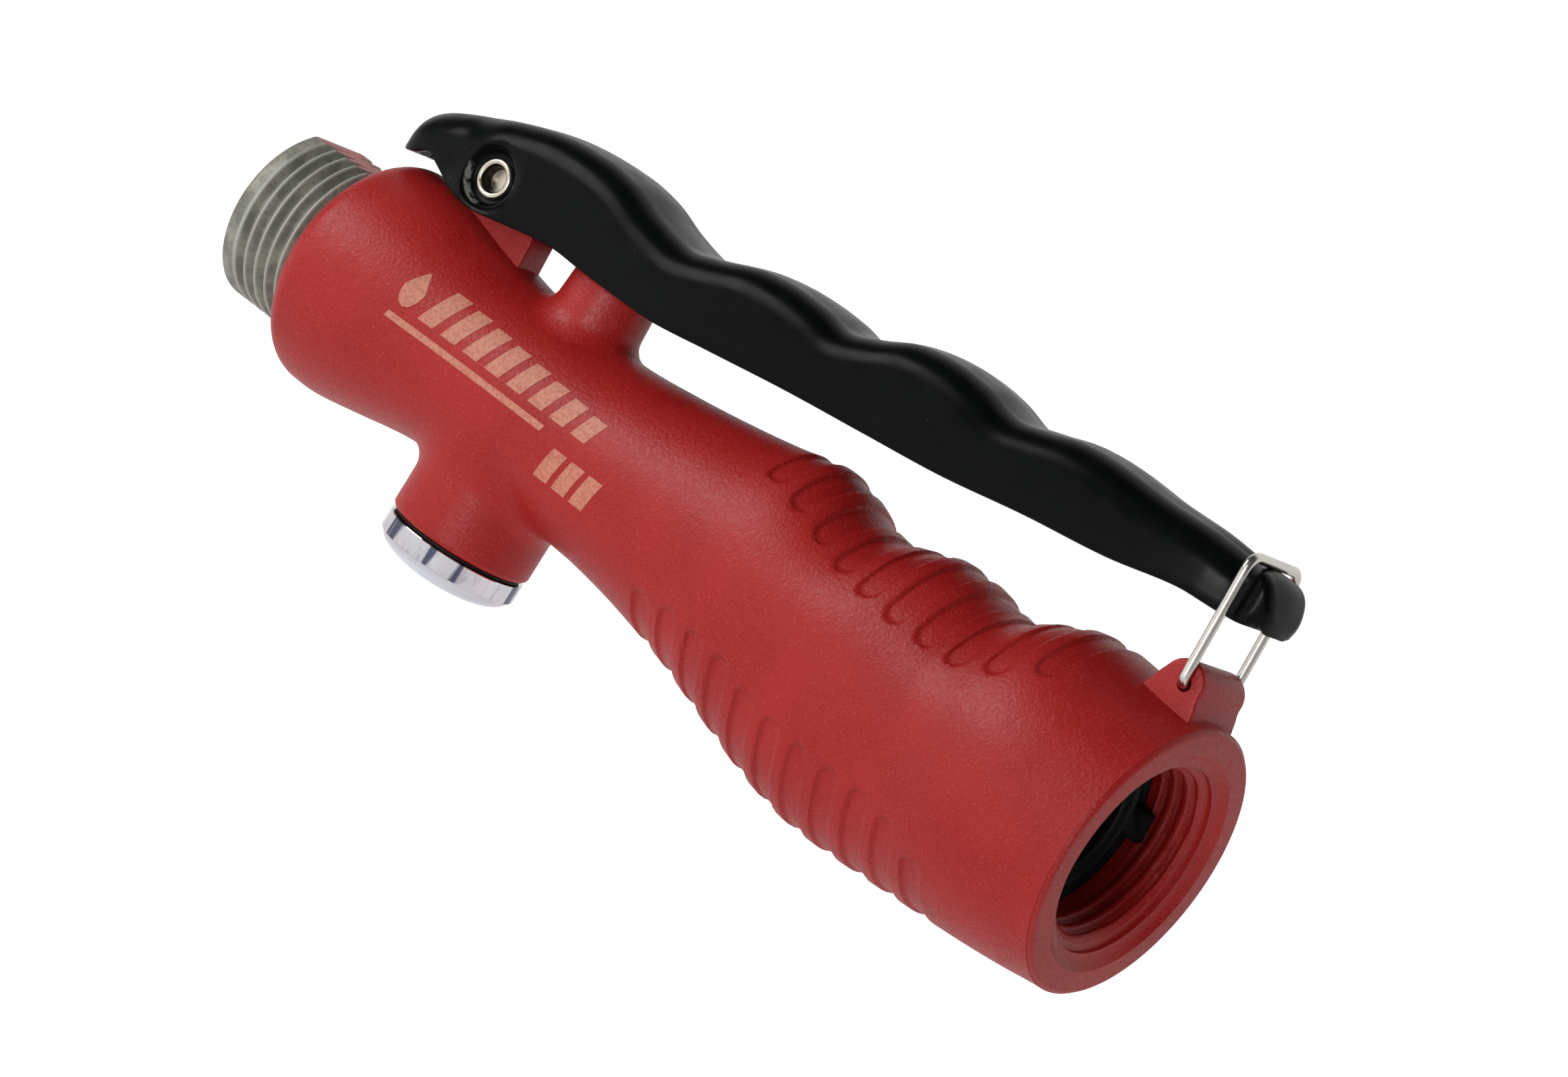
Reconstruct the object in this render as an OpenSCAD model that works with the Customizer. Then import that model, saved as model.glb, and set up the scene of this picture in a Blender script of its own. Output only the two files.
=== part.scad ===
// Squeeze-lever shut-off valve for a garden hose: a cast barrel grip with a hose inlet at the
// back, a threaded spout at the front and a plunger valve standing across it.
// Millimetres. X runs from the spout to the hose inlet, Z points up to the lever.
// The origin is the centre of the hose inlet's mouth.

/* [Body] */
// Distance from the hose mouth to the front end of the spout thread
overall_length = 166.7; // [165:0.1:168]
// Radius of the front barrel
barrel_r = 17.35; // [17:0.05:17.8]
// Radius of the hose mouth's outer rim
rim_r = 19.9; // [19.2:0.05:20.4]
// How far the grip's slots are sunk
slot_depth = 0.6; // [0.3:0.05:0.8]
// Distance from one grip slot to the next
slot_pitch = 5.65; // [5.4:0.05:5.8]
// Width of a grip slot at its floor
slot_width = 3.1; // [2.6:0.1:3.4]

/* [Spout] */
// Outer radius of the spout thread
spout_thread_r = 13.45; // [13.3:0.05:13.5]
// Distance from one turn of the hose thread to the next
thread_pitch = 2.209; // [2.1:0.001:2.3]
// Radius of the spout's bore
spout_bore_r = 9.2; // [8:0.1:9.8]

/* [Hose inlet] */
// Radius over the crests of the inlet thread
inlet_thread_r = 12.45; // [12.3:0.05:12.6]
// Depth of the inlet thread below its counterbore
inlet_thread_length = 8.2; // [8:0.1:8.4]

/* [Lever] */
// Thickness of the lever's wall
lever_wall = 1.6; // [1.4:0.1:1.8]
// Half the width of the lever over its middle
lever_half_width = 9.4; // [9.1:0.1:9.6]
// Radius of the pivot rivet's shank
rivet_r = 2.25; // [2:0.05:2.4]

/* [Bail] */
// Radius of the bail's wire
wire_r = 0.65; // [0.5:0.05:0.7]
// Height of the bail's bar above its hinge
bail_height = 18.34; // [18.2:0.02:18.5]

/* [Valve] */
// Radius of the valve stem
stem_r = 2; // [1.8:0.05:2.1]
// How far the poppet stands off its seat with the lever clipped down
rest_lift = 3.1; // [2.6:0.1:3.4]
// Turns of the return spring
spring_turns = 6; // [5:1:7]

/* [Display] */
// Piece to show

/* [Hidden] */

red = [0.60, 0.16, 0.15];
black = [0.07, 0.08, 0.08];
steel = [0.72, 0.72, 0.70];
brass = [0.75, 0.62, 0.32];
rubber = [0.10, 0.10, 0.10];
nylon = [0.88, 0.87, 0.82];
chrome = [0.86, 0.87, 0.88];
fine = 48;
touch = 0.05;
eps = 0.01;

// Height of the body's crown, depth of its belly and half width, each against distance along it
front_x = -153;
corner = 3.4;
crown = [[front_x, barrel_r - corner], [-152.6, barrel_r - 1.9], [-151.7, barrel_r - 1],
         [-149.6, barrel_r - 0.2], [-146, barrel_r - 0.2], [-139, 16.5], [-131, 14.7], [-124, 13.5],
         [-113, 13.0], [-104, 12.9], [-94, 13.9], [-84, 15.3], [-75, 16.9], [-69, 18.3],
         [-65.5, 18.3], [-62, 17.3], [-58, 15.7], [-54, 15.2], [-50, 16.3], [-46, 17.7],
         [-41, 17.9], [-36, 17.1], [-32.5, 16.5], [-29, 17.9], [-25, 20.2], [-20, 21.4],
         [-14, 21.2], [-8, 20.5], [-0.7, rim_r], [0, rim_r - 0.5]];
belly = [[front_x, barrel_r - corner], [-152.6, barrel_r - 1.8], [-151.7, barrel_r - 0.8],
         [-149.6, barrel_r + 0.6], [-146, barrel_r + 0.5], [-139, 16.6], [-133, 15.4], [-128.8, 14.8],
         [-126.2, 15.4], [-124.2, 17.4], [-113, 19.5], [-103, 18.2], [-101, 15.9],
         [-98.4, 14.5], [-94, 14.4], [-86, 15.3], [-78, 16.6], [-72, 17.8],
         [-66, 19.5], [-60, 21.2], [-54, 22.7], [-47, 23.8], [-41, 23.9], [-32, 23.4],
         [-24, 22.7], [-14, 21.8], [-8, 21.1], [-0.7, rim_r + 0.1], [0, rim_r - 0.4]];
flank = [[front_x, barrel_r - corner], [-152.6, barrel_r - 1.8], [-151.7, barrel_r - 0.8],
         [-149.6, barrel_r], [-146, barrel_r], [-139, 16.7], [-131, 15.5], [-124, 14.7],
         [-113, 14.1], [-104, 13.9], [-94, 14], [-84, 14.3], [-75, 14.7], [-66, 15.2],
         [-54, 15.6], [-47, 15.9], [-41, 16.2], [-36, 16.6], [-31, 17.2], [-26, 18.3], [-20, 19.7],
         [-14, 20.3], [-8, 20.2], [-0.7, rim_r], [0, rim_r - 0.5]];

// Height of the flat along the top of the spout's thread
spout_flat_z = 12.1;

// Grip slots: the first slot of the top and bottom rows, their count, and how far round from the
// flank each row's slots start at the first, middle and last slot
top_slots = [-70, 10, [[-70, 45], [-64, 40.5], [-58, 39], [-53, 35], [-47, 28], [-41, 25.5],
                       [-35, 27.5], [-30, 28.7], [-25, 31], [-19, 42]]];
low_slots = [-77, 11, [[-77, 34], [-71, 29], [-60, 26], [-54, 28.5], [-43, 30.5], [-32, 30],
                       [-26, 33], [-20, 42]]];
slot_edge = 0.7;

// Valve axis and the levels along it
valve_x = -113.6;
boss_r = 10.75;
boss_foot = -22.2;
cap_r = 10.5;
gasket_t = 0.8;
plug_r = 8.65;
chamber_r = 8.2;
shoulder_z = 1.5;
seat_lip = -2;
seat_bore_r = 5.4;
roof_z = 9.5;
guide_r = 6.4;
guide_top = 19.6;
gland_r = 4.6;
pad_face = 29;
pad_r = 3.6;
pad_t = 1;
poppet_top = seat_lip - rest_lift;
disc_t = 1.6;
poppet_foot = -10;
cup_floor = -21;

// Passages: the inlet tube slopes down into the chamber, the outlet leaves above the seat
tube_r = 5.5;
tube_mouth_r = 9;
tube_start = [-24, 0, 0];
tube_end = [-112, 0, -7];
throat_r = 9;
throat_x = -30;
port_r = 4;
port_z = 5.4;

// Hose inlet, as depths below the mouth
lip_r = 15.85;
lip_in_r = 14.35;
lip_depth = 0.6;
counter_r = 13.9;
counter_depth = 1.8;
washer_r = 13;
washer_bore_r = 8.5;
washer_face = counter_depth + inlet_thread_length;
washer_t = 2.8;
washer_tab = 1.6;
screen_r = 11.4;
screen_t = 0.9;

// Lever pivot, rivet and lug
pivot = [-135.6, 22.5];
lug_half = 2.75;
flange_r = 2.85;
flange_t = 0.6;
pocket_floor = 7;
pocket_r = 4;
pad_inner = 5.2;
play = 0.05;
rivet_bore_r = 1.7;

// Lever: crown height, edge height and half width against distance along it
lever_crown = [[-154.2, 21], [-153.5, 23.3], [-152, 25], [-149.5, 26.4], [-144.7, 28.4],
               [-137, 31.2], [-130, 33.1], [-122, 33.8], [-116, 33.2], [-110, 31.5], [-103, 30.5],
               [-98, 31.8], [-92, 33.9], [-86, 34.8], [-80, 34.7], [-75, 34.1], [-70, 35.8],
               [-65, 38.1], [-59, 39.1], [-53, 38.8], [-47, 37.6], [-42, 38.7], [-37, 40.1],
               [-31, 40.6], [-23, 40.4], [-15, 40.6], [-9, 40.3], [-6, 40.1], [-4, 39.5],
               [-2.4, 38.2], [-1.5, 36.8], [-1, 35.4]];
lever_edge = [[-154.2, 18.4], [-153.2, 18.1], [-151.6, 18.5], [-149.2, 18.7], [-147, 18.6],
              [-142, 18], [-136, 17.4], [-130, 18.2], [-121, 19.7], [-114, 19.6], [-107, 19.6],
              [-100, 19.8], [-90.6, 21.1], [-77, 23], [-63, 24.6], [-50, 26.1], [-37, 28.3],
              [-24, 30.1], [-14, 32.2], [-8, 32.5], [-4, 33], [-2, 33.6], [-1, 34]];
lever_width = [[-154.2, 1.5], [-153.7, 3.8], [-152.3, 5.6], [-149.9, 7], [-146, 8.2], [-138, 9],
               [-120, lever_half_width], [-60, lever_half_width - 0.1], [-35, 8.7], [-20, 7.7],
               [-12, 6.6], [-8.5, 5.9], [-6.5, 5.75], [-4.5, 6.05], [-2.6, 6], [-1.6, 5.6],
               [-1, 5]];
lever_shoulder = 4.6;
hollow_start = -150.9;
hollow_end = -4.6;

// Bail and ear
ear_half = 6.2;
bail_hinge = [-5.7, 22.8];
bail_lean = -3.75;
bail_half = 7.03;
bend_r = 1.7;
foot_bend_r = 1;
bail_hole_r = 0.72;
bail_end = 3.2;

// ---- helpers -------------------------------------------------------------------------------

// Value at x on a smooth curve through the points of a table
function span(t, x, i = 0) = i >= len(t) - 2 || x <= t[i + 1][0] ? i : span(t, x, i + 1);
function slope(t, i) = i == 0 ? (t[1][1] - t[0][1]) / (t[1][0] - t[0][0]) :
    i == len(t) - 1 ? (t[i][1] - t[i - 1][1]) / (t[i][0] - t[i - 1][0]) :
    (t[i + 1][1] - t[i - 1][1]) / (t[i + 1][0] - t[i - 1][0]);
function curve(t, x) = let (i = span(t, x), h = t[i + 1][0] - t[i][0],
    u = min(1, max(0, (x - t[i][0]) / h)), a = slope(t, i) * h, b = slope(t, i + 1) * h)
    (2 * u * u * u - 3 * u * u + 1) * t[i][1] + (u * u * u - 2 * u * u + u) * a
    + (3 * u * u - 2 * u * u * u) * t[i + 1][1] + (u * u * u - u * u) * b;
function flat(l) = [for (a = l) for (b = a) b];

// Solid through a list of closed rings of equal length, stacked along X. strip = true closes
// the ends of a ring whose second half runs back inside its first half.
module loft(rings, strip = false) {
    n = len(rings[0]);
    m = len(rings);
    half = n / 2 - 1;
    sides = [for (i = [0:m - 2], j = [0:n - 1]) let (k = (j + 1) % n)
        each [[i * n + j, (i + 1) * n + j, (i + 1) * n + k],
              [i * n + j, (i + 1) * n + k, i * n + k]]];
    last = (m - 1) * n;
    ends = strip ? [for (j = [0:half - 1]) let (b = n - 1 - j)
            each [[j, j + 1, b - 1, b], [last + b, last + b - 1, last + j + 1, last + j]]]
        : [[for (j = [0:n - 1]) j], [for (j = [0:n - 1]) last + n - 1 - j]];
    polyhedron(flat(rings), concat(sides, ends));
}

// Ring of rectangular or round section about Z
module ring_z(r_in, r_out, z0, z1) {
    translate([0, 0, z0]) rotate_extrude($fn = fine)
        translate([r_in, 0]) square([r_out - r_in, z1 - z0]);
}
module oring_z(centre_r, cord_r, z) {
    translate([0, 0, z]) rotate_extrude($fn = fine) translate([centre_r, 0]) circle(cord_r, $fn = fine);
}
module on_valve() { translate([valve_x, 0, 0]) children(); }
// Cylinder along X from x0 to x1
module bar_x(r, x0, x1, z = 0, r2 = -1) {
    translate([x0, 0, z]) rotate([0, 90, 0])
        cylinder(h = x1 - x0, r1 = r, r2 = r2 < 0 ? r : r2, $fn = fine);
}
// Cylinder along Y from y0 to y1 at a point of the XZ plane
module bar_y(r, p, y0, y1) {
    translate([p[0], y0, p[1]]) rotate([-90, 0, 0]) cylinder(h = y1 - y0, r = r, $fn = fine);
}

// ---- body ----------------------------------------------------------------------------------

// 1 inside a slot of the row, 0 outside it
function in_slot(row, x) = let (k = round((x - row[0]) / slot_pitch), d = abs(x - row[0] - k * slot_pitch))
    k >= 0 && k < row[1] && d < slot_width / 2 + eps ? 1 : 0;
function slot_sink(x, a) = let (up = a > 0 && a < 180, from = up ? a : 360 - a,
    side = min(from, 180 - from), row = up ? top_slots : low_slots)
    from <= 0 || a == 180 ? 0 :
    side > curve(row[2], x) && in_slot(row, x) > 0 ? slot_depth : 0;
ring_points = 40;
function body_ring(x) = [for (i = [0:ring_points - 1]) let (a = 360 * i / ring_points,
    h = sin(a) >= 0 ? curve(crown, x) : curve(belly, x), w = curve(flank, x), s = slot_sink(x, a))
    [x, (w - s) * cos(a), (h - s) * sin(a)]];
function slot_cuts(row) = [for (k = [0:row[1] - 1], d = [-1, 1])
    each [row[0] + k * slot_pitch + d * slot_width / 2,
          row[0] + k * slot_pitch + d * (slot_width / 2 + slot_edge)]];
function sorted(v) = len(v) < 2 ? v : let (p = v[floor(len(v) / 2)])
    concat(sorted([for (a = v) if (a < p) a]), [p], sorted([for (a = v) if (a > p) a]));
function spread(v, gap) = [for (i = [0:len(v) - 1]) if (i == 0 || v[i] - v[i - 1] > gap) v[i]];
smooth_stations = [front_x, -152.6, -151.7, -149.6, -146, -141, -136, -132, -128.6, -126.2,
                   -124.2, -118, -110, -103, -101, -98.4, -94, -90, -85, -80, -13, -8, -4, -0.7, 0];
body_stations = spread(sorted(concat(smooth_stations, slot_cuts(low_slots), slot_cuts(top_slots))),
                       0.12);

// Upright stub for the valve cap, with a rounded end
module boss_below() {
    root = -8;
    on_valve() rotate_extrude($fn = fine) polygon([[0, boss_foot], [boss_r - 0.7, boss_foot],
        [boss_r - 0.2, boss_foot + 0.2], [boss_r, boss_foot + 0.7], [boss_r, root], [0, root]]);
}
// Upright stub that guides the stem, slightly conical and flared where it leaves the barrel
module boss_above() {
    flare = 2;
    root = 13.2;
    slim = 0.4;
    on_valve() rotate_extrude($fn = fine) polygon(concat([[0, root - 3], [guide_r + flare, root - 3]],
        [for (a = [75:-15:0]) [guide_r + slim + flare * (1 - cos(a)), root + flare * (1 - sin(a))]],
        [[guide_r, guide_top], [0, guide_top]]));
}
module lug() {
    translate([0, lug_half, 0]) rotate([90, 0, 0]) linear_extrude(2 * lug_half) {
        translate(pivot) circle(4.5, $fn = fine);
        polygon([[-143, 9], [-127.3, 9], [-127.9, 18], [pivot[0] + 4.4, pivot[1] + 1],
                 [pivot[0] - 4.4, pivot[1] + 1], [-141.4, 16]]);
    }
}
module ear() {
    translate([0, ear_half, 0]) rotate([90, 0, 0]) linear_extrude(2 * ear_half) {
        translate([-6.15, 22.7]) circle(3.15, $fn = fine);
        polygon([[-11.4, 17], [-2.4, 17], [-3, 22.7], [-6.15, 24], [-9.1, 23.7], [-10.2, 20.4]]);
    }
}
module spout() {
    // Thread drawn as level ridges: flat crests, sloping flanks
    root_r = spout_thread_r - 1.25;
    land = 2.4;
    turns = floor((front_x + overall_length - land) / thread_pitch);
    crest = 0.55;
    valley = 0.4;
    x0 = -overall_length;
    profile = concat([[0, x0], [spout_thread_r - 0.2, x0], [spout_thread_r, x0 + 0.2],
        [spout_thread_r, x0 + land]],
        [for (i = [0:turns - 1]) let (s = x0 + land + i * thread_pitch,
            f = (thread_pitch - crest - valley) / 2)
            each [[root_r, s + f], [root_r, s + f + valley],
                  [spout_thread_r, s + 2 * f + valley],
                  [spout_thread_r, min(s + thread_pitch, front_x + 2)]]],
        [[root_r, front_x - 0.2], [root_r, front_x + 3], [0, front_x + 3]]);
    difference() {
        rotate([0, 90, 0]) rotate_extrude($fn = fine) polygon(profile);
        translate([x0 - 1, -spout_thread_r, spout_flat_z])
            cube([overall_length + front_x + 1, 2 * spout_thread_r, 5]);
    }
}
module passages() {
    over = 1;
    lip_slope = (lip_r - lip_in_r) / lip_depth;
    // Outlet side
    bar_x(spout_bore_r, -overall_length - over, -128.5);
    bar_x(spout_bore_r + 0.8 + over, -overall_length - over, -overall_length + 0.8,
          0, spout_bore_r);
    bar_x(port_r, -129.5, valve_x, port_z);
    // Inlet side: a cored, tapering way in from the throat to the chamber
    run = tube_end - tube_start;
    translate(tube_end) rotate([0, atan2(-run[0], -run[2]), 0])
        cylinder(h = norm(run), r1 = tube_r, r2 = tube_mouth_r, $fn = fine);
    bar_x(throat_r, throat_x, -washer_face - washer_t - screen_t + eps);
    bar_x(screen_r + 0.1, -washer_face - washer_t - screen_t, -washer_face - washer_t + eps);
    bar_x(washer_r + 0.1, -washer_face - washer_t, -washer_face + washer_tab);
    bar_x(inlet_thread_r, -washer_face - eps, -counter_depth + eps);
    bar_x(inlet_thread_r, -counter_depth - 1.4, -counter_depth + eps, 0, counter_r);
    bar_x(counter_r, -counter_depth, over);
    bar_x(lip_in_r, -lip_depth, over, 0, lip_in_r + lip_slope * (lip_depth + over));
    // Valve chamber, seat step, roof and guide
    on_valve() {
        translate([0, 0, boss_foot - over]) cylinder(h = over + 8.2, r = plug_r, $fn = fine);
        translate([0, 0, boss_foot]) cylinder(h = shoulder_z - boss_foot, r = chamber_r, $fn = fine);
        translate([0, 0, shoulder_z - eps])
            cylinder(h = roof_z - shoulder_z, r = chamber_r - 1.4, $fn = fine);
        translate([0, 0, roof_z - 1]) cylinder(h = guide_top - roof_z + 2, r = gland_r, $fn = fine);
    }
    // Holes for the rivet and the bail
    bar_y(rivet_r + play, pivot, -lug_half - over, lug_half + over);
    bar_y(bail_hole_r, bail_hinge, -ear_half - over, ear_half + over);
}
module body() {
    color(red) difference() {
        union() {
            loft([for (x = body_stations) body_ring(x)]);
            spout();
            boss_below();
            boss_above();
            lug();
            ear();
        }
        passages();
    }
}

// ---- lever and bail ------------------------------------------------------------------------

function lever_half(w, top, edge, r) = let (s = min(r, w * 0.85, (top - edge) * 0.7))
    concat([[w, edge], [w, edge + (top - s - edge) / 2]],
           [for (a = [0:22.5:90]) [w - s * (1 - cos(a)), top - s * (1 - sin(a))]]);
function rev(v) = [for (i = [len(v) - 1:-1:0]) v[i]];
function lever_ring(x) = let (w = curve(lever_width, x), top = curve(lever_crown, x),
    edge = curve(lever_edge, x), open = x > hollow_start && x < hollow_end,
    outer = lever_half(w, top, edge, lever_shoulder),
    roof = open ? top - lever_wall : edge + 0.35,
    inner = lever_half(max(w - lever_wall, w * 0.4), roof, edge, lever_shoulder - 1))
    [for (p = outer) [x, p[0], p[1]], for (p = rev(outer)) [x, -p[0], p[1]],
     for (p = inner) [x, -p[0], p[1]], for (p = rev(inner)) [x, p[0], p[1]]];
lever_stations = concat([-154.2, -153.7, -152.7, hollow_start - 0.4, hollow_start + 0.4, -148.6],
    [for (x = [-146:4:-14]) x], [-11, -8.5, -6.5, -4.9, hollow_end + 0.5, -3, -2.2, -1.5, -1]);

// Block under the lever's roof that holds the wear pad over the stem
module striker() {
    half = pad_r + 0.9;
    on_valve() translate([0, half, 0]) rotate([90, 0, 0]) linear_extrude(2 * half)
        polygon([[-half, pad_face + 0.4], [half, pad_face + 0.4],
                 [half, curve(lever_crown, valve_x + half) - 0.8],
                 [-half, curve(lever_crown, valve_x - half) - 0.8]]);
}
module lever() {
    color(black) difference() {
        union() {
            loft([for (x = lever_stations) lever_ring(x)], strip = true);
            for (s = [-1, 1]) bar_y(pocket_r + 0.9, pivot, s > 0 ? pad_inner : -8.3,
                                      s > 0 ? 8.3 : -pad_inner);
            striker();
        }
        for (s = [-1, 1]) bar_y(pocket_r, pivot, s > 0 ? pocket_floor : -12, s > 0 ? 12 : -pocket_floor);
        bar_y(rivet_r, pivot, -12, 12);
        on_valve() translate([0, 0, pad_face]) cylinder(h = pad_t, r = pad_r, $fn = fine);
    }
}
module lever_pad() {
    color(steel) on_valve() translate([0, 0, pad_face]) cylinder(h = pad_t, r = pad_r, $fn = fine);
}
module pivot_rivet() {
    color(steel) difference() {
        union() {
            bar_y(rivet_r, pivot, -pocket_floor, pocket_floor);
            for (s = [-1, 1]) translate([pivot[0], s * pocket_floor, pivot[1]]) rotate([s * -90, 0, 0])
                rotate_extrude($fn = fine) polygon([[0, 0], [flange_r, 0], [flange_r, flange_t - 0.2],
                    [flange_r - 0.25, flange_t], [0, flange_t]]);
        }
        bar_y(rivet_bore_r, pivot, -12, 12);
    }
}
module pivot_spacers() {
    color(nylon) for (s = [-1, 1]) difference() {
        bar_y(4.1, pivot, s > 0 ? lug_half + play : -pad_inner, s > 0 ? pad_inner : -lug_half - play);
        bar_y(rivet_r, pivot, -12, 12);
    }
}
// Quarter turn of the bail's wire about the X axis, starting at angle a
module wire_bend(r, y, z, a) {
    translate([0, y, z]) rotate([90, 0, 90]) rotate([0, 0, a])
        rotate_extrude(angle = 90, $fn = fine) translate([r, 0]) circle(wire_r, $fn = fine);
}
module wire_bail() {
    // Drawn standing, then leaned forward to where it crosses the lever's neck
    color(steel) translate([bail_hinge[0], 0, bail_hinge[1]]) rotate([0, bail_lean, 0]) {
        for (s = [-1, 1]) {
            translate([0, s * bail_half, foot_bend_r])
                cylinder(h = bail_height - foot_bend_r - bend_r, r = wire_r, $fn = fine);
            wire_bend(foot_bend_r, s * (bail_half - foot_bend_r), foot_bend_r, s > 0 ? 270 : 180);
            wire_bend(bend_r, s * (bail_half - bend_r), bail_height - bend_r, s > 0 ? 0 : 90);
            translate([0, s * bail_end, 0]) rotate([s * -90, 0, 0])
                cylinder(h = bail_half - foot_bend_r - bail_end, r = wire_r, $fn = fine);
        }
        translate([0, -bail_half + bend_r, bail_height]) rotate([-90, 0, 0])
            cylinder(h = 2 * (bail_half - bend_r), r = wire_r, $fn = fine);
    }
}

// ---- valve ---------------------------------------------------------------------------------

module valve_cap() {
    rim = 2.6;
    dome = 2.9;
    face = boss_foot - gasket_t;
    color(chrome) on_valve() difference() {
        rotate_extrude($fn = fine) polygon(concat(
            [[0, face + 8], [plug_r - 0.03, face + 8], [plug_r - 0.03, face],
             [cap_r - 0.2, face], [cap_r, face - 0.2], [cap_r, face - rim + 0.4],
             [cap_r - 0.5, face - rim]],
            [for (a = [15:15:90]) [(cap_r - 0.6) * cos(a), face - rim - dome * sin(a)]]));
        translate([0, 0, face - 0.5]) cylinder(h = 9, r = plug_r - 1.6, $fn = fine);
    }
}
module cap_gasket() {
    color(rubber) on_valve() ring_z(plug_r + 0.05, cap_r - 0.25, boss_foot - gasket_t, boss_foot);
}
module spring_cup() {
    // Plastic cup that centres the spring in the cap
    floor_z = boss_foot - gasket_t - 0.5;
    color(nylon) on_valve() {
        translate([0, 0, floor_z]) cylinder(h = cup_floor - floor_z, r = plug_r - 1.65, $fn = fine);
        ring_z(6.1, plug_r - 1.65, cup_floor, cup_floor + 2);
        translate([0, 0, cup_floor]) cylinder(h = 2, r = 3.4, $fn = fine);
    }
}
module valve_spring() {
    wire = 0.55;
    mean_r = 4.9;
    low = cup_floor + wire + 0.02;
    high = poppet_foot - wire - 0.02;
    steps = spring_turns * 20;
    sides = 8;
    // Closed ends: the first and last turn lie nearly flat
    rise = [[0, 0], [1, wire * 2.1], [spring_turns - 1, high - low - wire * 2.1],
            [spring_turns, high - low]];
    color(steel) on_valve() {
        points = [for (i = [0:steps]) let (t = spring_turns * i / steps, a = 360 * t)
            [for (j = [0:sides - 1]) let (b = 360 * j / sides, q = mean_r + wire * cos(b))
                [q * cos(a), q * sin(a), low + lookup(t, rise) + wire * sin(b)]]];
        n = sides;
        polyhedron(flat(points), concat(
            [for (i = [0:steps - 1], j = [0:n - 1]) let (k = (j + 1) % n, m = i * n)
                each [[m + j, m + k, m + n + k], [m + j, m + n + k, m + n + j]]],
            [[for (j = [0:n - 1]) n - 1 - j], [for (j = [0:n - 1]) steps * n + j]]));
    }
}
module poppet() {
    body_top = poppet_top - disc_t;
    color(brass) on_valve() difference() {
        rotate_extrude($fn = fine) polygon([[0, poppet_foot - 3], [3.2, poppet_foot - 3],
            [3.8, poppet_foot - 2.4], [3.8, poppet_foot], [6.6, poppet_foot], [7.3, poppet_foot + 0.7],
            [7.3, poppet_top - 0.5], [6.95, poppet_top - 0.5], [6.95, body_top], [0, body_top]]);
        translate([0, 0, poppet_foot - 4]) cylinder(h = 12, r = stem_r - 0.3, $fn = fine);
    }
}
module seal_disc() {
    color(rubber) on_valve() ring_z(stem_r, 6.9, poppet_top - disc_t, poppet_top);
}
module seal_retainer() {
    color(brass) on_valve() ring_z(stem_r, 4.2, poppet_top, poppet_top + 0.8);
}
module poppet_nut() {
    color(brass) on_valve() translate([0, 0, poppet_foot - 5.2]) difference() {
        cylinder(h = 2.2, r = 3.1, $fn = 6);
        translate([0, 0, -1]) cylinder(h = 5, r = stem_r - 0.3, $fn = fine);
    }
}
circlip_z = 22.6;
button_z = 24;
button_bore = 3.6;
module valve_stem() {
    shank_foot = poppet_foot - 5.8;
    step_z = poppet_top - disc_t;
    color(steel) on_valve() rotate_extrude($fn = fine) polygon([[0, shank_foot],
        [stem_r - 0.6, shank_foot], [stem_r - 0.3, shank_foot + 0.3], [stem_r - 0.3, step_z],
        [stem_r, step_z], [stem_r, poppet_top + 0.8], [stem_r + 0.9, poppet_top + 0.8],
        [stem_r + 0.9, poppet_top + 2.4], [stem_r, poppet_top + 3.2], [stem_r, circlip_z],
        [stem_r - 0.5, circlip_z], [stem_r - 0.5, circlip_z + 0.8], [stem_r, circlip_z + 0.8],
        [stem_r, button_z + button_bore], [0, button_z + button_bore]]);
}
module stem_circlip() {
    color(steel) on_valve() difference() {
        ring_z(stem_r - 0.5, stem_r + 1.9, circlip_z + 0.05, circlip_z + 0.75);
        translate([0, -stem_r + 0.7, circlip_z - 1]) cube([6, 2 * (stem_r - 0.7), 3]);
    }
}
module stem_button() {
    top = pad_face - 0.05;
    color(black) on_valve() difference() {
        rotate_extrude($fn = fine) polygon([[0, button_z], [3.1, button_z],
            [3.4, button_z + 0.4], [3.4, top - 1], [2.9, top - 0.4], [1.8, top - 0.1], [0, top]]);
        translate([0, 0, button_z - 1]) cylinder(h = button_bore + 1, r = stem_r, $fn = fine);
    }
}
module seat_ring() {
    groove_z = -0.6;
    color(brass) on_valve() rotate_extrude($fn = fine) polygon([[seat_bore_r, seat_lip + 0.2],
        [seat_bore_r + 0.2, seat_lip], [seat_bore_r + 0.5, seat_lip],
        [seat_bore_r + 0.9, seat_lip + 0.8], [chamber_r - 0.03, seat_lip + 0.8],
        [chamber_r - 0.03, groove_z], [chamber_r - 1.1, groove_z],
        [chamber_r - 1.1, groove_z + 1.3], [chamber_r - 0.03, groove_z + 1.3],
        [chamber_r - 0.03, shoulder_z], [seat_bore_r, shoulder_z]]);
}
module seat_oring() { color(rubber) on_valve() oring_z(chamber_r - 0.56, 0.53, 0.05); }
module gland_bushing() {
    foot = 10;
    flange_top = guide_top + 1.6;
    color(brass) on_valve() difference() {
        rotate_extrude($fn = fine) polygon([[0, foot], [gland_r - 0.43, foot], [gland_r - 0.03, foot + 0.4],
            [gland_r - 0.03, guide_top], [5.7, guide_top], [5.7, flange_top - 0.3],
            [5.4, flange_top], [0, flange_top]]);
        translate([0, 0, foot - 1]) cylinder(h = 14, r = stem_r + play, $fn = fine);
        for (z = [12, 15.6]) ring_z(stem_r, stem_r + 1.3, z, z + 1.6);
        ring_z(stem_r, stem_r + 1.6, flange_top - 1.2, flange_top + 1);
    }
}
module stem_orings() {
    color(rubber) on_valve() for (z = [12.8, 16.4]) oring_z(stem_r + play + 0.6, 0.6, z);
}
module gland_wiper() {
    color(rubber) on_valve() ring_z(stem_r + play, stem_r + 1.57, guide_top + 0.45, guide_top + 1.7);
}

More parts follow.
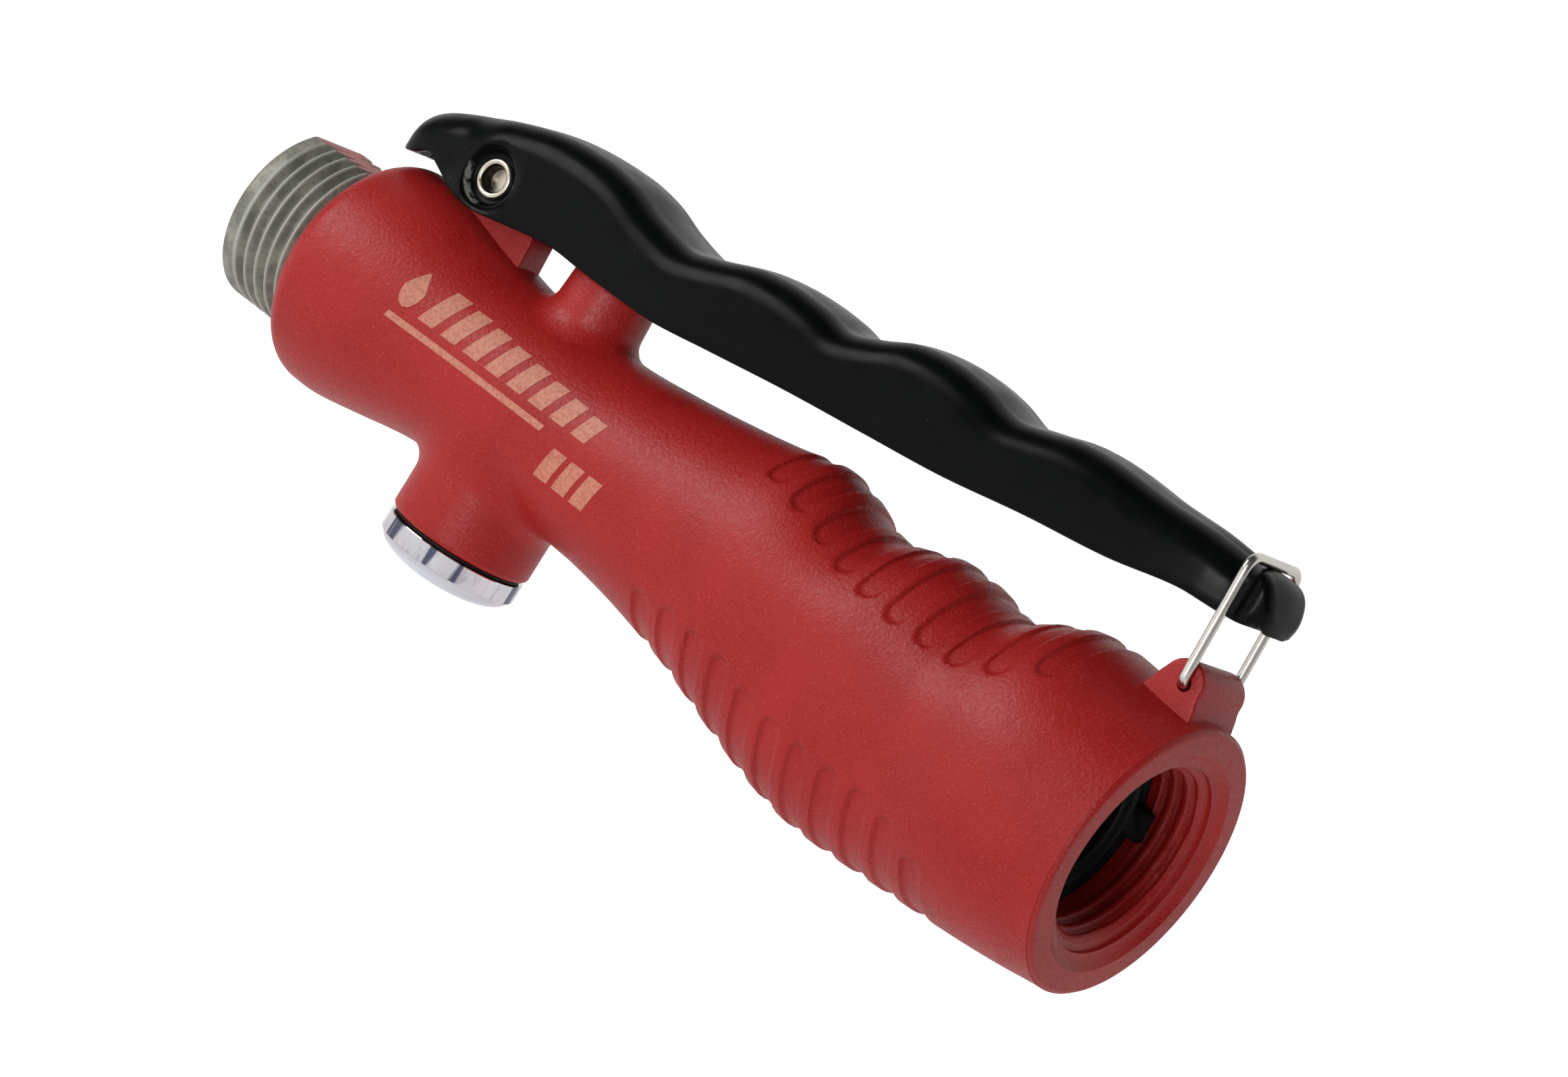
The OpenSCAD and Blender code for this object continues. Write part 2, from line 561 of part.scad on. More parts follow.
// ---- hose inlet parts ----------------------------------------------------------------------

module hose_washer() {
    color(rubber) difference() {
        union() {
            bar_x(washer_r, -washer_face - washer_t, -washer_face);
            for (a = [20, 140, 260]) rotate([a, 0, 0]) translate([-washer_face - touch, -2, 10.6])
                cube([washer_tab + touch, 4, 1.6]);
        }
        bar_x(washer_bore_r, -washer_face - washer_t - 1, -washer_face + 5);
        bar_x(washer_bore_r + 1.6, -washer_face - 0.5, -washer_face + 5);
    }
}
module screen_frame() {
    x0 = -washer_face - washer_t - screen_t;
    color(brass) difference() {
        bar_x(screen_r, x0, x0 + screen_t);
        bar_x(8.2, x0 - 1, x0 + 2);
        bar_x(8.8, x0 + 0.3, x0 + 0.6);
    }
}
module screen_mesh() {
    x0 = -washer_face - washer_t - screen_t;
    wire = 0.3;
    gap = 1.9;
    color(steel) translate([x0 + 0.3, 0, 0]) {
        difference() {
            bar_x(8.78, 0, wire);
            bar_x(8.1, -1, 1);
        }
        intersection() {
            bar_x(8.4, 0, wire);
            for (i = [-4:4], a = [0, 90]) rotate([a, 0, 0])
                translate([0, i * gap - wire / 2, -9]) cube([wire, wire, 18]);
        }
    }
}

body();
lever();
lever_pad();
pivot_rivet();
pivot_spacers();
wire_bail();
valve_cap();
cap_gasket();
spring_cup();
valve_spring();
poppet();
seal_disc();
seal_retainer();
poppet_nut();
valve_stem();
stem_circlip();
stem_button();
seat_ring();
seat_oring();
gland_bushing();
stem_orings();
gland_wiper();
hose_washer();
screen_frame();
screen_mesh();
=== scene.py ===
"""Looks of the squeeze-lever hose valve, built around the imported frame.

Lengths are millimetres until a mesh is made, X from the spout to the hose mouth, Z up.
"""
import math

import bmesh
import bpy
import numpy as np
from mathutils import Matrix, Vector


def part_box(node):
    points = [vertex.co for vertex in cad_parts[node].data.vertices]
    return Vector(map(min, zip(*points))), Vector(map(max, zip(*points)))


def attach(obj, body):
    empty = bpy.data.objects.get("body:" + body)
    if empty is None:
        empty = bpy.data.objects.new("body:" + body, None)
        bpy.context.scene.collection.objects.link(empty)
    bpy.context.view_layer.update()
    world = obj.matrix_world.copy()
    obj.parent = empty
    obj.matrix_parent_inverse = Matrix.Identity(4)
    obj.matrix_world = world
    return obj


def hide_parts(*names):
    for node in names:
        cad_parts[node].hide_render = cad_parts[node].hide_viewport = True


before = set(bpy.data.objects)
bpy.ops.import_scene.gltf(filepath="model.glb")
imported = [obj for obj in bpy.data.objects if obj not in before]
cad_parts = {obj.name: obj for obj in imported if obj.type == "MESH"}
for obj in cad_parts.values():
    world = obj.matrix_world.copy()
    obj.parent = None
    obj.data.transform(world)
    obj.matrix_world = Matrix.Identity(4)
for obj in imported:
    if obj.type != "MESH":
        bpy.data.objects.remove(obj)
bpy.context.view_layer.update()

MM = 0.001


def cad_box(node):
    """Lowest and highest corner of a CAD node, in millimetres."""
    lo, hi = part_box(node)
    return np.array(lo) / MM, np.array(hi) / MM


body_lo, body_hi = cad_box("body")
cap_lo, cap_hi = cad_box("valve_cap")
rivet_lo, rivet_hi = cad_box("pivot_rivet")
bail_lo, bail_hi = cad_box("wire_bail")
washer_lo, washer_hi = cad_box("hose_washer")
gasket_lo, gasket_hi = cad_box("cap_gasket")

# ---- sizes ---------------------------------------------------------------------------------

# Places along the barrel: plane of the hose mouth, spout's end, and the barrel's front edge
MOUTH_X = body_hi[0]
SPOUT_X = body_lo[0]
FRONT_X = -153.0
VALVE_X = (cap_lo[0] + cap_hi[0]) / 2
PIVOT_X, _, PIVOT_Z = (rivet_lo + rivet_hi) / 2
VALVE_AXIS = (VALVE_X, 0, 0)
RIVET_AXIS = (PIVOT_X, 0, PIVOT_Z)

# The bail's hinge, from the CAD wire's lowest point
CAD_WIRE_R = 0.65
BAIL_X = -5.7
BAIL_Z = bail_lo[2] + CAD_WIRE_R

# Height of the crown, depth of the belly and half width of the casting against X
CROWN = [(-170, 17.15), (-146, 17.15), (-139, 16.5), (-131, 14.7), (-124, 13.5), (-113, 13.0),
         (-104, 12.9), (-94, 13.9), (-84, 15.3), (-75, 16.9), (-69, 18.3), (-65.5, 18.3),
         (-62, 17.3), (-58, 15.7), (-54, 15.2), (-50, 16.3), (-46, 17.7), (-41, 17.9),
         (-36, 17.1), (-32.5, 16.5), (-29, 17.9), (-25, 20.2), (-20, 21.4), (-14, 21.2),
         (-8, 20.5), (-0.7, 20.0), (4, 19.9)]
BELLY = [(-170, 17.9), (-149.6, 17.95), (-146, 17.85), (-139, 16.6), (-133, 15.4), (-128.8, 14.7),
         (-120, 13.9), (-107, 13.7), (-98.4, 14.2), (-94, 14.4), (-86, 15.3), (-78, 16.7),
         (-72, 18.0), (-66, 19.7), (-60, 21.3), (-54, 22.8), (-47, 23.9), (-41, 24.0),
         (-32, 23.4), (-24, 22.7), (-14, 21.8), (-8, 21.1), (-0.7, 20.05), (4, 19.9)]
FLANK = [(-170, 17.35), (-146, 17.35), (-139, 16.7), (-131, 15.5), (-124, 14.7), (-113, 14.1),
         (-104, 13.9), (-94, 14.0), (-84, 14.3), (-75, 14.7), (-66, 15.2), (-54, 15.6),
         (-47, 15.9), (-41, 16.2), (-36, 16.6), (-31, 17.2), (-26, 18.3), (-20, 19.7),
         (-14, 20.3), (-8, 20.2), (-0.7, 20.0), (4, 19.9)]

# Grip slots: spacing along X, half width, depth, and width of the sloping edge
SLOT_PITCH = 5.65
SLOT_HALF = 1.85
SLOT_DEPTH = 0.45
SLOT_EDGE = 0.36

# Rows of slots: X of the first, count, and the angle above the flank where they start against X
TOP_SLOTS = (-70.0, 10, [(-70, 45), (-64, 40.5), (-58, 39), (-53, 35), (-47, 28), (-41, 25.5),
                         (-35, 27.5), (-30, 28.7), (-25, 31), (-19, 42)])
LOW_SLOTS = (-77.0, 11, [(-77, 34), (-71, 29), (-60, 26), (-54, 28.5), (-43, 30.5), (-32, 30),
                         (-26, 33), (-20, 42)])

# Rim, front edge, valve boss below the barrel and stem guide above it
RIM_R = 19.9
FRONT_EDGE = 3.4
BOSS_R = 10.75
BOSS_FOOT = gasket_hi[2]
BOSS_FILLET = 3.2
GUIDE_R = 6.4
GUIDE_TOP = 19.6
GUIDE_DRAFT = 0.06
GUIDE_EDGE = 0.4
GUIDE_FILLET = 2.2

# Skin made past the mouth and below the boss, for the rim and foot tools to trim
MOUTH_SPARE = 1.2
FOOT_SPARE = 1.5

# Bores and threads
THREAD_PITCH = 2.209
SPOUT_BORE_R = 9.2
THROAT_R = 9.0
FLAT_Z = 12.1

# Rivet's shank, and distance of the pocket's floor from the lever's middle plane
SHANK_R = 2.25
POCKET_FLOOR = 7.0


# ---- small tools ---------------------------------------------------------------------------

def curve(table, x):
    """Smooth curve through the points of a table, evaluated at x."""
    t = np.array(table, float)
    px, py = t[:, 0], t[:, 1]
    slope = np.empty(len(px))
    slope[1:-1] = (py[2:] - py[:-2]) / (px[2:] - px[:-2])
    slope[0] = (py[1] - py[0]) / (px[1] - px[0])
    slope[-1] = (py[-1] - py[-2]) / (px[-1] - px[-2])
    x = np.asarray(x, float)
    i = np.clip(np.searchsorted(px, x) - 1, 0, len(px) - 2)
    h = px[i + 1] - px[i]
    u = np.clip((x - px[i]) / h, 0, 1)
    return ((2 * u ** 3 - 3 * u ** 2 + 1) * py[i] + (u ** 3 - 2 * u ** 2 + u) * slope[i] * h
            + (3 * u ** 2 - 2 * u ** 3) * py[i + 1] + (u ** 3 - u ** 2) * slope[i + 1] * h)


def ramp(a, b, x):
    """0 below a, 1 above b, and a smooth step between."""
    u = np.clip((x - a) / (b - a), 0, 1)
    return u * u * (3 - 2 * u)


def round_min(a, b, r):
    """Union of two distances with a fillet of radius r."""
    return np.maximum(r, np.minimum(a, b)) - np.hypot(np.maximum(r - a, 0), np.maximum(r - b, 0))


def round_max(a, b, r):
    """Intersection of two distances with an edge radius r."""
    return np.minimum(-r, np.maximum(a, b)) + np.hypot(np.maximum(r + a, 0), np.maximum(r + b, 0))


def mesh_object(name, points, faces, smooth_angle=40):
    """Mesh object from points in millimetres, smooth apart from edges sharper than the angle."""
    mesh = bpy.data.meshes.new(name)
    mesh.from_pydata([tuple(p) for p in np.asarray(points, float) * MM], [], faces)
    bm = bmesh.new()
    bm.from_mesh(mesh)
    bmesh.ops.recalc_face_normals(bm, faces=bm.faces)
    bm.to_mesh(mesh)
    bm.free()
    obj = bpy.data.objects.new(name, mesh)
    bpy.context.scene.collection.objects.link(obj)
    shade(obj, smooth_angle)
    return obj


def shade(obj, angle):
    """Smooth shading, with edges sharper than the angle (degrees) left sharp."""
    obj.data.shade_smooth()
    obj.data.set_sharp_from_angle(angle=math.radians(angle))


def skin(name, rings, closed=False, smooth_angle=40):
    """Solid through closed rings of points, an array (rings, points, 3). closed joins the last
    ring to the first; otherwise each end gets a face."""
    rings = np.asarray(rings, float)
    m, n = rings.shape[:2]
    faces = []
    for i in range(m if closed else m - 1):
        a, b = i * n, (i + 1) % m * n
        faces += [(a + j, b + j, b + (j + 1) % n, a + (j + 1) % n) for j in range(n)]
    if not closed:
        faces += [tuple(range(n)), tuple(range((m - 1) * n, m * n))]
    return mesh_object(name, rings.reshape(-1, 3), faces, smooth_angle)


def lathe(name, profile, axis="x", centre=(0, 0, 0), steps=160, closed=True, smooth_angle=40):
    """Turned solid: profile is a list of (distance along the axis, radius). closed joins its
    last point to its first; otherwise each end gets a flat face."""
    along, radius = np.array(profile, float).T
    a = np.linspace(0, 2 * math.pi, steps, endpoint=False)
    u = along[:, None] + 0 * a
    p, q = radius[:, None] * np.cos(a), radius[:, None] * np.sin(a)
    order = {"x": (u, p, q), "y": (p, u, q), "z": (p, q, u)}[axis]
    return skin(name, np.stack(order, -1) + np.array(centre), closed, smooth_angle)


def arc(centre_u, centre_r, radius, start, stop, steps=8):
    """Points (along, radius) on an arc; angles in degrees from the axis direction."""
    return [(centre_u + radius * math.cos(math.radians(t)),
             centre_r + radius * math.sin(math.radians(t)))
            for t in np.linspace(start, stop, steps)]


def combine(target, tool, how, smooth_angle=40):
    """Boolean of target with tool (how is UNION or DIFFERENCE); the tool is used up."""
    modifier = target.modifiers.new("join", "BOOLEAN")
    modifier.operation = how
    modifier.solver = "MANIFOLD"
    modifier.object = tool
    graph = bpy.context.evaluated_depsgraph_get()
    mesh = bpy.data.meshes.new_from_object(target.evaluated_get(graph))
    target.modifiers.clear()
    target.data = mesh
    bpy.data.objects.remove(tool)
    shade(target, smooth_angle)


def plate(name, outline, half, edge, steps=4):
    """Plate of an XZ outline, 2 x half thick along Y, with rounded edges."""
    # Each corner moves inward along its normal, and the insets follow a quarter circle
    o = np.array(outline, float)
    ahead, behind = np.roll(o, -1, 0) - o, o - np.roll(o, 1, 0)
    normal = np.array([[a[1], -a[0]] for a in ahead / np.linalg.norm(ahead, axis=1)[:, None]
                       + behind / np.linalg.norm(behind, axis=1)[:, None]])
    normal /= np.linalg.norm(normal, axis=1)[:, None]
    area = np.sum(o[:, 0] * np.roll(o[:, 1], -1) - np.roll(o[:, 0], -1) * o[:, 1])
    inward = -normal * np.sign(area)
    turn = np.linspace(0, math.pi / 2, steps + 1)
    side = [(half - edge + edge * math.cos(t), edge * (1 - math.sin(t))) for t in turn]
    rows = side + [(-y, inset) for y, inset in reversed(side)]
    rings = []
    for y, inset in rows:
        flat = o + inward * inset
        rings.append(np.stack([flat[:, 0], 0 * flat[:, 0] + y, flat[:, 1]], -1))
    return skin(name, rings)


def surface_net(field, xs, ys, zs):
    """Points and quads of field = 0 on a grid of lines xs, ys, zs: one point in each cell that
    the surface crosses, then moved onto the surface."""
    axes = [np.asarray(a, float) for a in (xs, ys, zs)]
    f = field(axes[0][:, None, None], axes[1][None, :, None], axes[2][None, None, :])
    cells = np.array(f.shape) - 1
    total = np.zeros((cells.prod(), 3))
    count = np.zeros(cells.prod())
    quads = []
    for k in range(3):
        others = [d for d in range(3) if d != k]
        a = np.take(f, range(cells[k]), axis=k)
        b = np.take(f, range(1, cells[k] + 1), axis=k)
        at = np.argwhere((a < 0) != (b < 0))
        va, vb = a[tuple(at.T)], b[tuple(at.T)]
        t = va / (va - vb)
        p = np.stack([axes[d][at[:, d]] for d in range(3)], -1)
        p[:, k] += t * (axes[k][at[:, k] + 1] - axes[k][at[:, k]])
        ids = []
        for du, dv in ((0, 0), (-1, 0), (-1, -1), (0, -1)):
            c = at.copy()
            c[:, others[0]] += du
            c[:, others[1]] += dv
            flat = (c[:, 0] * cells[1] + c[:, 1]) * cells[2] + c[:, 2]
            np.add.at(total, flat, p)
            np.add.at(count, flat, 1)
            ids.append(flat)
        q = np.stack(ids, -1)
        turned = (va < 0) != (k == 1)
        q[~turned] = q[~turned][:, ::-1]
        quads.append(q)
    quads = np.concatenate(quads)
    used, index = np.unique(quads, return_inverse=True)
    points = total[used] / count[used][:, None]
    return onto(field, points), index.reshape(-1, 4)


def onto(field, points, rounds=4, reach=0.3):
    """Points moved along the field's gradient until the field is 0, at most reach a round."""
    h, least = 0.02, 0.25
    for _ in range(rounds):
        x, y, z = points.T
        value = field(x, y, z)
        grad = np.stack([field(x + h, y, z) - field(x - h, y, z),
                         field(x, y + h, z) - field(x, y - h, z),
                         field(x, y, z + h) - field(x, y, z - h)], -1) / (2 * h)
        size = np.maximum((grad ** 2).sum(1), least)
        step = -(value / size)[:, None] * grad
        length = np.linalg.norm(step, axis=1)[:, None]
        points = points + step * np.minimum(1, reach / np.maximum(length, 1e-9))
    return points


def spaced(*stretches):
    """Grid lines: each stretch is (start, stop, step); stretches follow each other."""
    lines = [np.arange(a, b, s) for a, b, s in stretches]
    return np.concatenate(lines + [[stretches[-1][1]]])


# ---- casting -------------------------------------------------------------------------------

def slot_sink(x, angle, reach, row):
    """How far a row of grip slots is sunk at a place; angle is measured from the flank."""
    first, number, ends = row
    k = np.clip(np.round((x - first) / SLOT_PITCH), 0, number - 1)
    middle = first + k * SLOT_PITCH
    t = np.radians(angle - curve(ends, middle)) * reach - SLOT_HALF
    inside = SLOT_HALF - np.hypot(x - middle, np.minimum(t, 0))
    return SLOT_DEPTH * ramp(0, SLOT_EDGE, inside)


def casting_field(x, y, z):
    """Distance to the casting's skin, without its lug, ear and bores."""
    w = curve(FLANK, x)
    crown, belly = curve(CROWN, x), curve(BELLY, x)
    h = np.where(z >= 0, crown, belly)
    rho = np.sqrt((y / w) ** 2 + (z / h) ** 2) + 1e-6
    steep = np.sqrt((y / w ** 2) ** 2 + (z / h ** 2) ** 2) / rho + 1e-4
    d = (rho - 1) / steep
    angle = np.degrees(np.arctan2(np.abs(z) / h, np.abs(y) / w))
    reach = (w + h) / 2
    d = d + np.where(z >= 0, slot_sink(x, angle, reach, TOP_SLOTS),
                     slot_sink(x, angle, reach, LOW_SLOTS))
    d = np.maximum(round_max(d, FRONT_X - x, FRONT_EDGE), x - MOUTH_X - MOUTH_SPARE)
    from_valve = np.hypot(x - VALVE_X, y)
    boss = np.maximum(from_valve - BOSS_R, np.maximum(z, BOSS_FOOT - FOOT_SPARE - z))
    d = round_min(d, boss, BOSS_FILLET)
    cone = from_valve - GUIDE_R - GUIDE_DRAFT * (GUIDE_TOP - z)
    guide = np.maximum(round_max(cone, z - GUIDE_TOP, GUIDE_EDGE), -z)
    return round_min(d, guide, GUIDE_FILLET)


def lug_plate():
    """Lug that carries the rivet, between the lever's walls."""
    half, edge, eye_r, foot_z = 2.75, 0.4, 4.5, 8
    eye = [(PIVOT_X + eye_r * math.cos(t), PIVOT_Z + eye_r * math.sin(t))
           for t in np.linspace(-0.2, 3.2, 24)]
    outline = [(-142.6, foot_z), (-127.2, foot_z), (-127.9, 18)] + eye + [(-141.2, 16)]
    return plate("lug", outline, half, edge)


def ear_plate():
    """Ear on the rim that holds the bail's feet."""
    half, edge, eye_x, eye_z, eye_r, foot_z = 6.2, 0.5, -6.15, 22.75, 3.2, 17
    eye = [(eye_x + eye_r * math.cos(t), eye_z + eye_r * math.sin(t))
           for t in np.linspace(-0.1, 2.75, 22)]
    outline = ([(-12.2, foot_z), (-2.0, foot_z), (-2.2, 19.6), (-2.5, 20.8), (-2.85, 21.8)]
               + eye + [(-9.9, 22.2), (-10.6, 20.4)])
    return plate("ear", outline, half, edge)


def rim_tool():
    """Cutter that trims the skin at the mouth and rounds the rim's outer edge."""
    edge, past, inner = 0.8, 4, 0.5     # the core left inside it goes with the mouth
    profile = ([(MOUTH_X, inner)] + arc(MOUTH_X - edge, RIM_R - edge, edge, 0, 78)
               + [(MOUTH_X - edge, RIM_R + 2), (MOUTH_X + past, RIM_R + 2), (MOUTH_X + past, inner)])
    return lathe("rim_tool", profile, steps=256)


def foot_tool():
    """Cutter that trims the valve boss at its foot and rounds its edge."""
    edge, past, inner = 0.9, 4, 0.5     # the core left inside it goes with the chamber
    profile = ([(BOSS_FOOT, inner)] + arc(BOSS_FOOT + edge, BOSS_R - edge, edge, 180, 98)
               + [(BOSS_FOOT + edge, BOSS_R + past), (BOSS_FOOT - past, BOSS_R + past),
                  (BOSS_FOOT - past, inner)])
    return lathe("foot_tool", profile, "z", VALVE_AXIS, steps=192)


def build_casting():
    """Barrel, grip, boss and guide in one skin, then its lug and ear, edges and bores."""
    # Grid lines lie close together along the slots and wider elsewhere
    across = 0.62
    xs = spaced((-154, -79.5, 0.74), (-79.5, -16.5, 0.32), (-16.5, 2, 0.6))
    ys = spaced((-21.5, 21.5, across))
    zs = spaced((-24.6, 22.6, across))
    points, quads = surface_net(casting_field, xs, ys, zs)
    casting = mesh_object("casting", points, quads.tolist())
    for added in (lug_plate, ear_plate):
        combine(casting, added(), "UNION")
    for cutter in (rim_tool, foot_tool, mouth_tool):
        combine(casting, cutter(), "DIFFERENCE")
    for tool in bore_tools():
        combine(casting, tool, "DIFFERENCE")
    return casting


def turned_ring(x, radius, a):
    """Ring of points round the X axis at the angles a; radius is a number or one for each."""
    return np.stack([x + 0 * a, radius * np.cos(a), radius * np.sin(a)], -1)


def mouth_tool():
    """Cutter of the hose mouth: lip, counterbore, thread, washer pocket and throat."""
    steps, step, seat, seat_wide, last = 192, 0.16, 0.9, 2.5, -30
    crest_r, root_r, counter_r, counter = 12.5, 13.35, 14.2, 1.9
    pocket, back, pocket_r = washer_hi[0], washer_lo[0], 13.1
    # Plain profile as (depth, radius)
    lip = [(-3, 19.3), (0, 16.3), (0.14, 16.15), (0.3, 15.97), (0.6, 15.6), (1.1, 14.95),
           (1.12, counter_r), (counter - 0.1, counter_r), (counter, counter_r - 0.1),
           (counter + 0.02, 13.5), (2.6, 12.8), (3.2, crest_r)]
    depth, lip_r = np.array(lip).T
    x = np.concatenate([-depth[depth <= counter], np.arange(-2.0, pocket + 0.05, -step),
                        [pocket, pocket - 0.01]])
    plain = np.interp(-x, depth, lip_r)
    a = np.linspace(0, 2 * math.pi, steps, endpoint=False)
    wave = 1 - np.abs(np.mod(x[:, None] / THREAD_PITCH - a / (2 * math.pi), 1) * 2 - 1)
    groove = crest_r + (root_r - crest_r) * ramp(0.2, 0.8, wave)
    cut = np.where((x < -counter)[:, None], np.maximum(plain[:, None], groove),
                   plain[:, None] + 0 * a)
    rings = [turned_ring(xi, r, a) for xi, r in zip(x, cut)]
    seat_r = THROAT_R + seat_wide
    for xi, r in ((pocket, pocket_r), (back, pocket_r), (back, seat_r), (back - seat, seat_r),
                  (back - seat, THROAT_R), (last, THROAT_R)):
        rings.append(turned_ring(xi, r, a))
    return skin("mouth_tool", rings)


def way_in():
    """Cutter of the water way: a taper from the throat down to the valve chamber."""
    start_x, run, narrow_r = -24, Vector((-88.0, 0, -7)), 5.5
    way = lathe("way_in", [(0, THROAT_R), (np.linalg.norm(run), narrow_r)], "z", steps=96,
                closed=False)
    way.data.transform(Matrix.Translation((start_x * MM, 0, 0))
                       @ run.to_track_quat("Z", "Y").to_matrix().to_4x4())
    return way


def bore_tools():
    """Cutters of the spout bore, water way, chamber, port, guide bore, rivet and bail holes."""
    port_x, port_r, port_z = -129.5, 4, 5.4
    yield lathe("spout_bore", [(FRONT_X - 3, SPOUT_BORE_R), (port_x + 1, SPOUT_BORE_R)],
                steps=96, closed=False)
    yield way_in()
    plug_r, plug_top, chamber_r, chamber_top, seat_r, seat_top = 8.65, -15, 8.2, 1.5, 6.8, 9.5
    yield lathe("chamber", [(BOSS_FOOT - 1, plug_r), (plug_top, plug_r), (plug_top, chamber_r),
                            (chamber_top, chamber_r), (chamber_top, seat_r), (seat_top, seat_r)],
                "z", VALVE_AXIS, 96, closed=False)
    yield lathe("port", [(port_x, port_r), (VALVE_X, port_r)], "x", (0, 0, port_z), 64, closed=False)
    stem_r, stem_low, rivet_r, past = 4.6, 8, 2.3, 4
    yield lathe("guide_bore", [(stem_low, stem_r), (GUIDE_TOP + 2, stem_r)], "z", VALVE_AXIS, 64,
                closed=False)
    yield lathe("lug_hole", [(-past, rivet_r), (past, rivet_r)], "y", RIVET_AXIS, 64, closed=False)
    foot_r, flare_r, flare_y, side_y = 0.95, 1.2, 5.6, 8
    yield lathe("ear_hole", [(-side_y, flare_r), (-flare_y, foot_r), (flare_y, foot_r),
                             (side_y, flare_r)], "y", (BAIL_X, 0, BAIL_Z), 64, closed=False)


def build_spout():
    """Threaded spout with a flat along its top and a plain lead band."""
    steps, step, root_r, crest_r, lip, chamfer = 224, 0.125, 12.2, 13.45, 0.8, 0.2
    lead, lead_end, start_turn = 1.9, 2.7, 0.39
    run_out, fade = FRONT_X - 0.9, 0.5
    x = np.concatenate([[SPOUT_X, SPOUT_X + chamfer], np.arange(SPOUT_X + lip, run_out + fade, step),
                        [FRONT_X, FRONT_X + 1]])
    a = np.linspace(0, 2 * math.pi, steps, endpoint=False)
    wave = np.abs(np.mod(x[:, None] / THREAD_PITCH - a / (2 * math.pi) + start_turn, 1) * 2 - 1)
    # Worn flanks, half a smooth step and half straight
    flank = 0.5 * ramp(0.04, 0.92, wave) + 0.5 * np.clip((wave - 0.06) / 0.8, 0, 1)
    valley = flank * ramp(SPOUT_X + lead, SPOUT_X + lead_end, x)[:, None]
    valley = np.maximum(valley, ramp(run_out, run_out + fade, x)[:, None])
    r = crest_r - (crest_r - root_r) * valley
    r[0] -= chamfer
    top = np.sin(a) > 0.3
    r[:, top] = np.minimum(r[:, top], FLAT_Z / np.sin(a[top]))
    rings = [turned_ring(xi, ri, a) for xi, ri in zip(x, r)]
    for xi, ri in ((FRONT_X + 1, SPOUT_BORE_R), (SPOUT_X + lip, SPOUT_BORE_R),
                   (SPOUT_X, SPOUT_BORE_R + lip)):
        rings.append(turned_ring(xi, ri, a))
    return skin("spout", rings, closed=True, smooth_angle=50)


def is_painted(place):
    """Whether a place on the spout keeps its red coat: only the thread is machined bare."""
    thread_end, face, bare_r = FRONT_X - 0.6, SPOUT_X + 0.12, 11.6
    at_end = place.x > thread_end or place.x < face
    return at_end or place.z > FLAT_Z - 0.05 or math.hypot(place.y, place.z) < bare_r


# ---- lever ---------------------------------------------------------------------------------

# Top of the lever, lower edge of its walls and half width against X
LEVER_CROWN = [(-154.2, 21), (-153.5, 23.3), (-152, 25), (-149.5, 26.4), (-144.7, 28.4),
               (-137, 31.2), (-130, 33.1), (-122, 33.8), (-116, 33.2), (-110, 31.5),
               (-103, 30.5), (-98, 31.8), (-92, 33.9), (-86, 34.8), (-80, 34.7), (-75, 34.1),
               (-70, 35.8), (-65, 38.1), (-59, 39.1), (-53, 38.8), (-47, 37.6), (-42, 38.7),
               (-37, 40.1), (-31, 40.6), (-23, 40.4), (-15, 40.6), (-9, 40.3), (-6, 40.2),
               (-4.6, 40.0), (-3.4, 39.3), (-2.6, 38.4), (-2.0, 37.3), (-1.6, 36.2), (-1.35, 35.3)]
LEVER_EDGE = [(-154.2, 18.7), (-153.4, 18.1), (-151.8, 18.4), (-150.1, 18.9), (-148.7, 19.7),
              (-147.2, 20.0), (-145.4, 19.4), (-142, 18.1), (-138.6, 17.4), (-135, 17.3),
              (-130, 18.2), (-121, 19.7), (-114, 19.6), (-107, 19.6), (-100, 19.8), (-90.6, 21.1),
              (-77, 23), (-63, 24.6), (-50, 26.1), (-37, 28.3), (-24, 30.1), (-14, 32.2),
              (-8, 32.5), (-4.5, 32.9), (-3, 33.4), (-2.3, 33.6), (-1.75, 33.3), (-1.35, 33.4)]
LEVER_WIDTH = [(-154.2, 2.0), (-153.7, 4.0), (-152.3, 5.8), (-149.9, 7), (-146, 7.75),
               (-143, 7.95), (-141, 8.4), (-139, 8.9), (-137, 9.1), (-120, 9.4), (-60, 9.3),
               (-35, 8.7), (-20, 7.7), (-12, 6.6), (-8.5, 5.6), (-6.8, 5.35), (-5.2, 5.8),
               (-3.8, 6.0), (-2.8, 5.65), (-2.1, 5.1), (-1.7, 4.4), (-1.45, 3.5), (-1.35, 2.8)]

# X where the solid nose opens into the channel, and where the channel closes into the tip
NOSE_WEB = (-151.4, -149.9)
TIP_WEB = (-5.4, -4.4)
LEVER_WALL = 1.6


def lever_arch(w, top, edge, shoulder, dome, steps=12):
    """Half of a lever section, from its side wall up over the shoulder to the middle."""
    s = min(shoulder, w * 0.85, (top - edge) * 0.7)
    wall = [(w, edge + (top - s - edge) * t) for t in (0, 0.35, 0.7)]
    bend = [(w - s * (1 - math.cos(t)), top - s * (1 - math.sin(t)))
            for t in np.linspace(0, math.pi / 2, steps)]
    roof = [((w - s) * (1 - t), top + dome * (2 * t - t * t)) for t in (0.3, 0.6, 0.85)]
    return wall + bend + roof


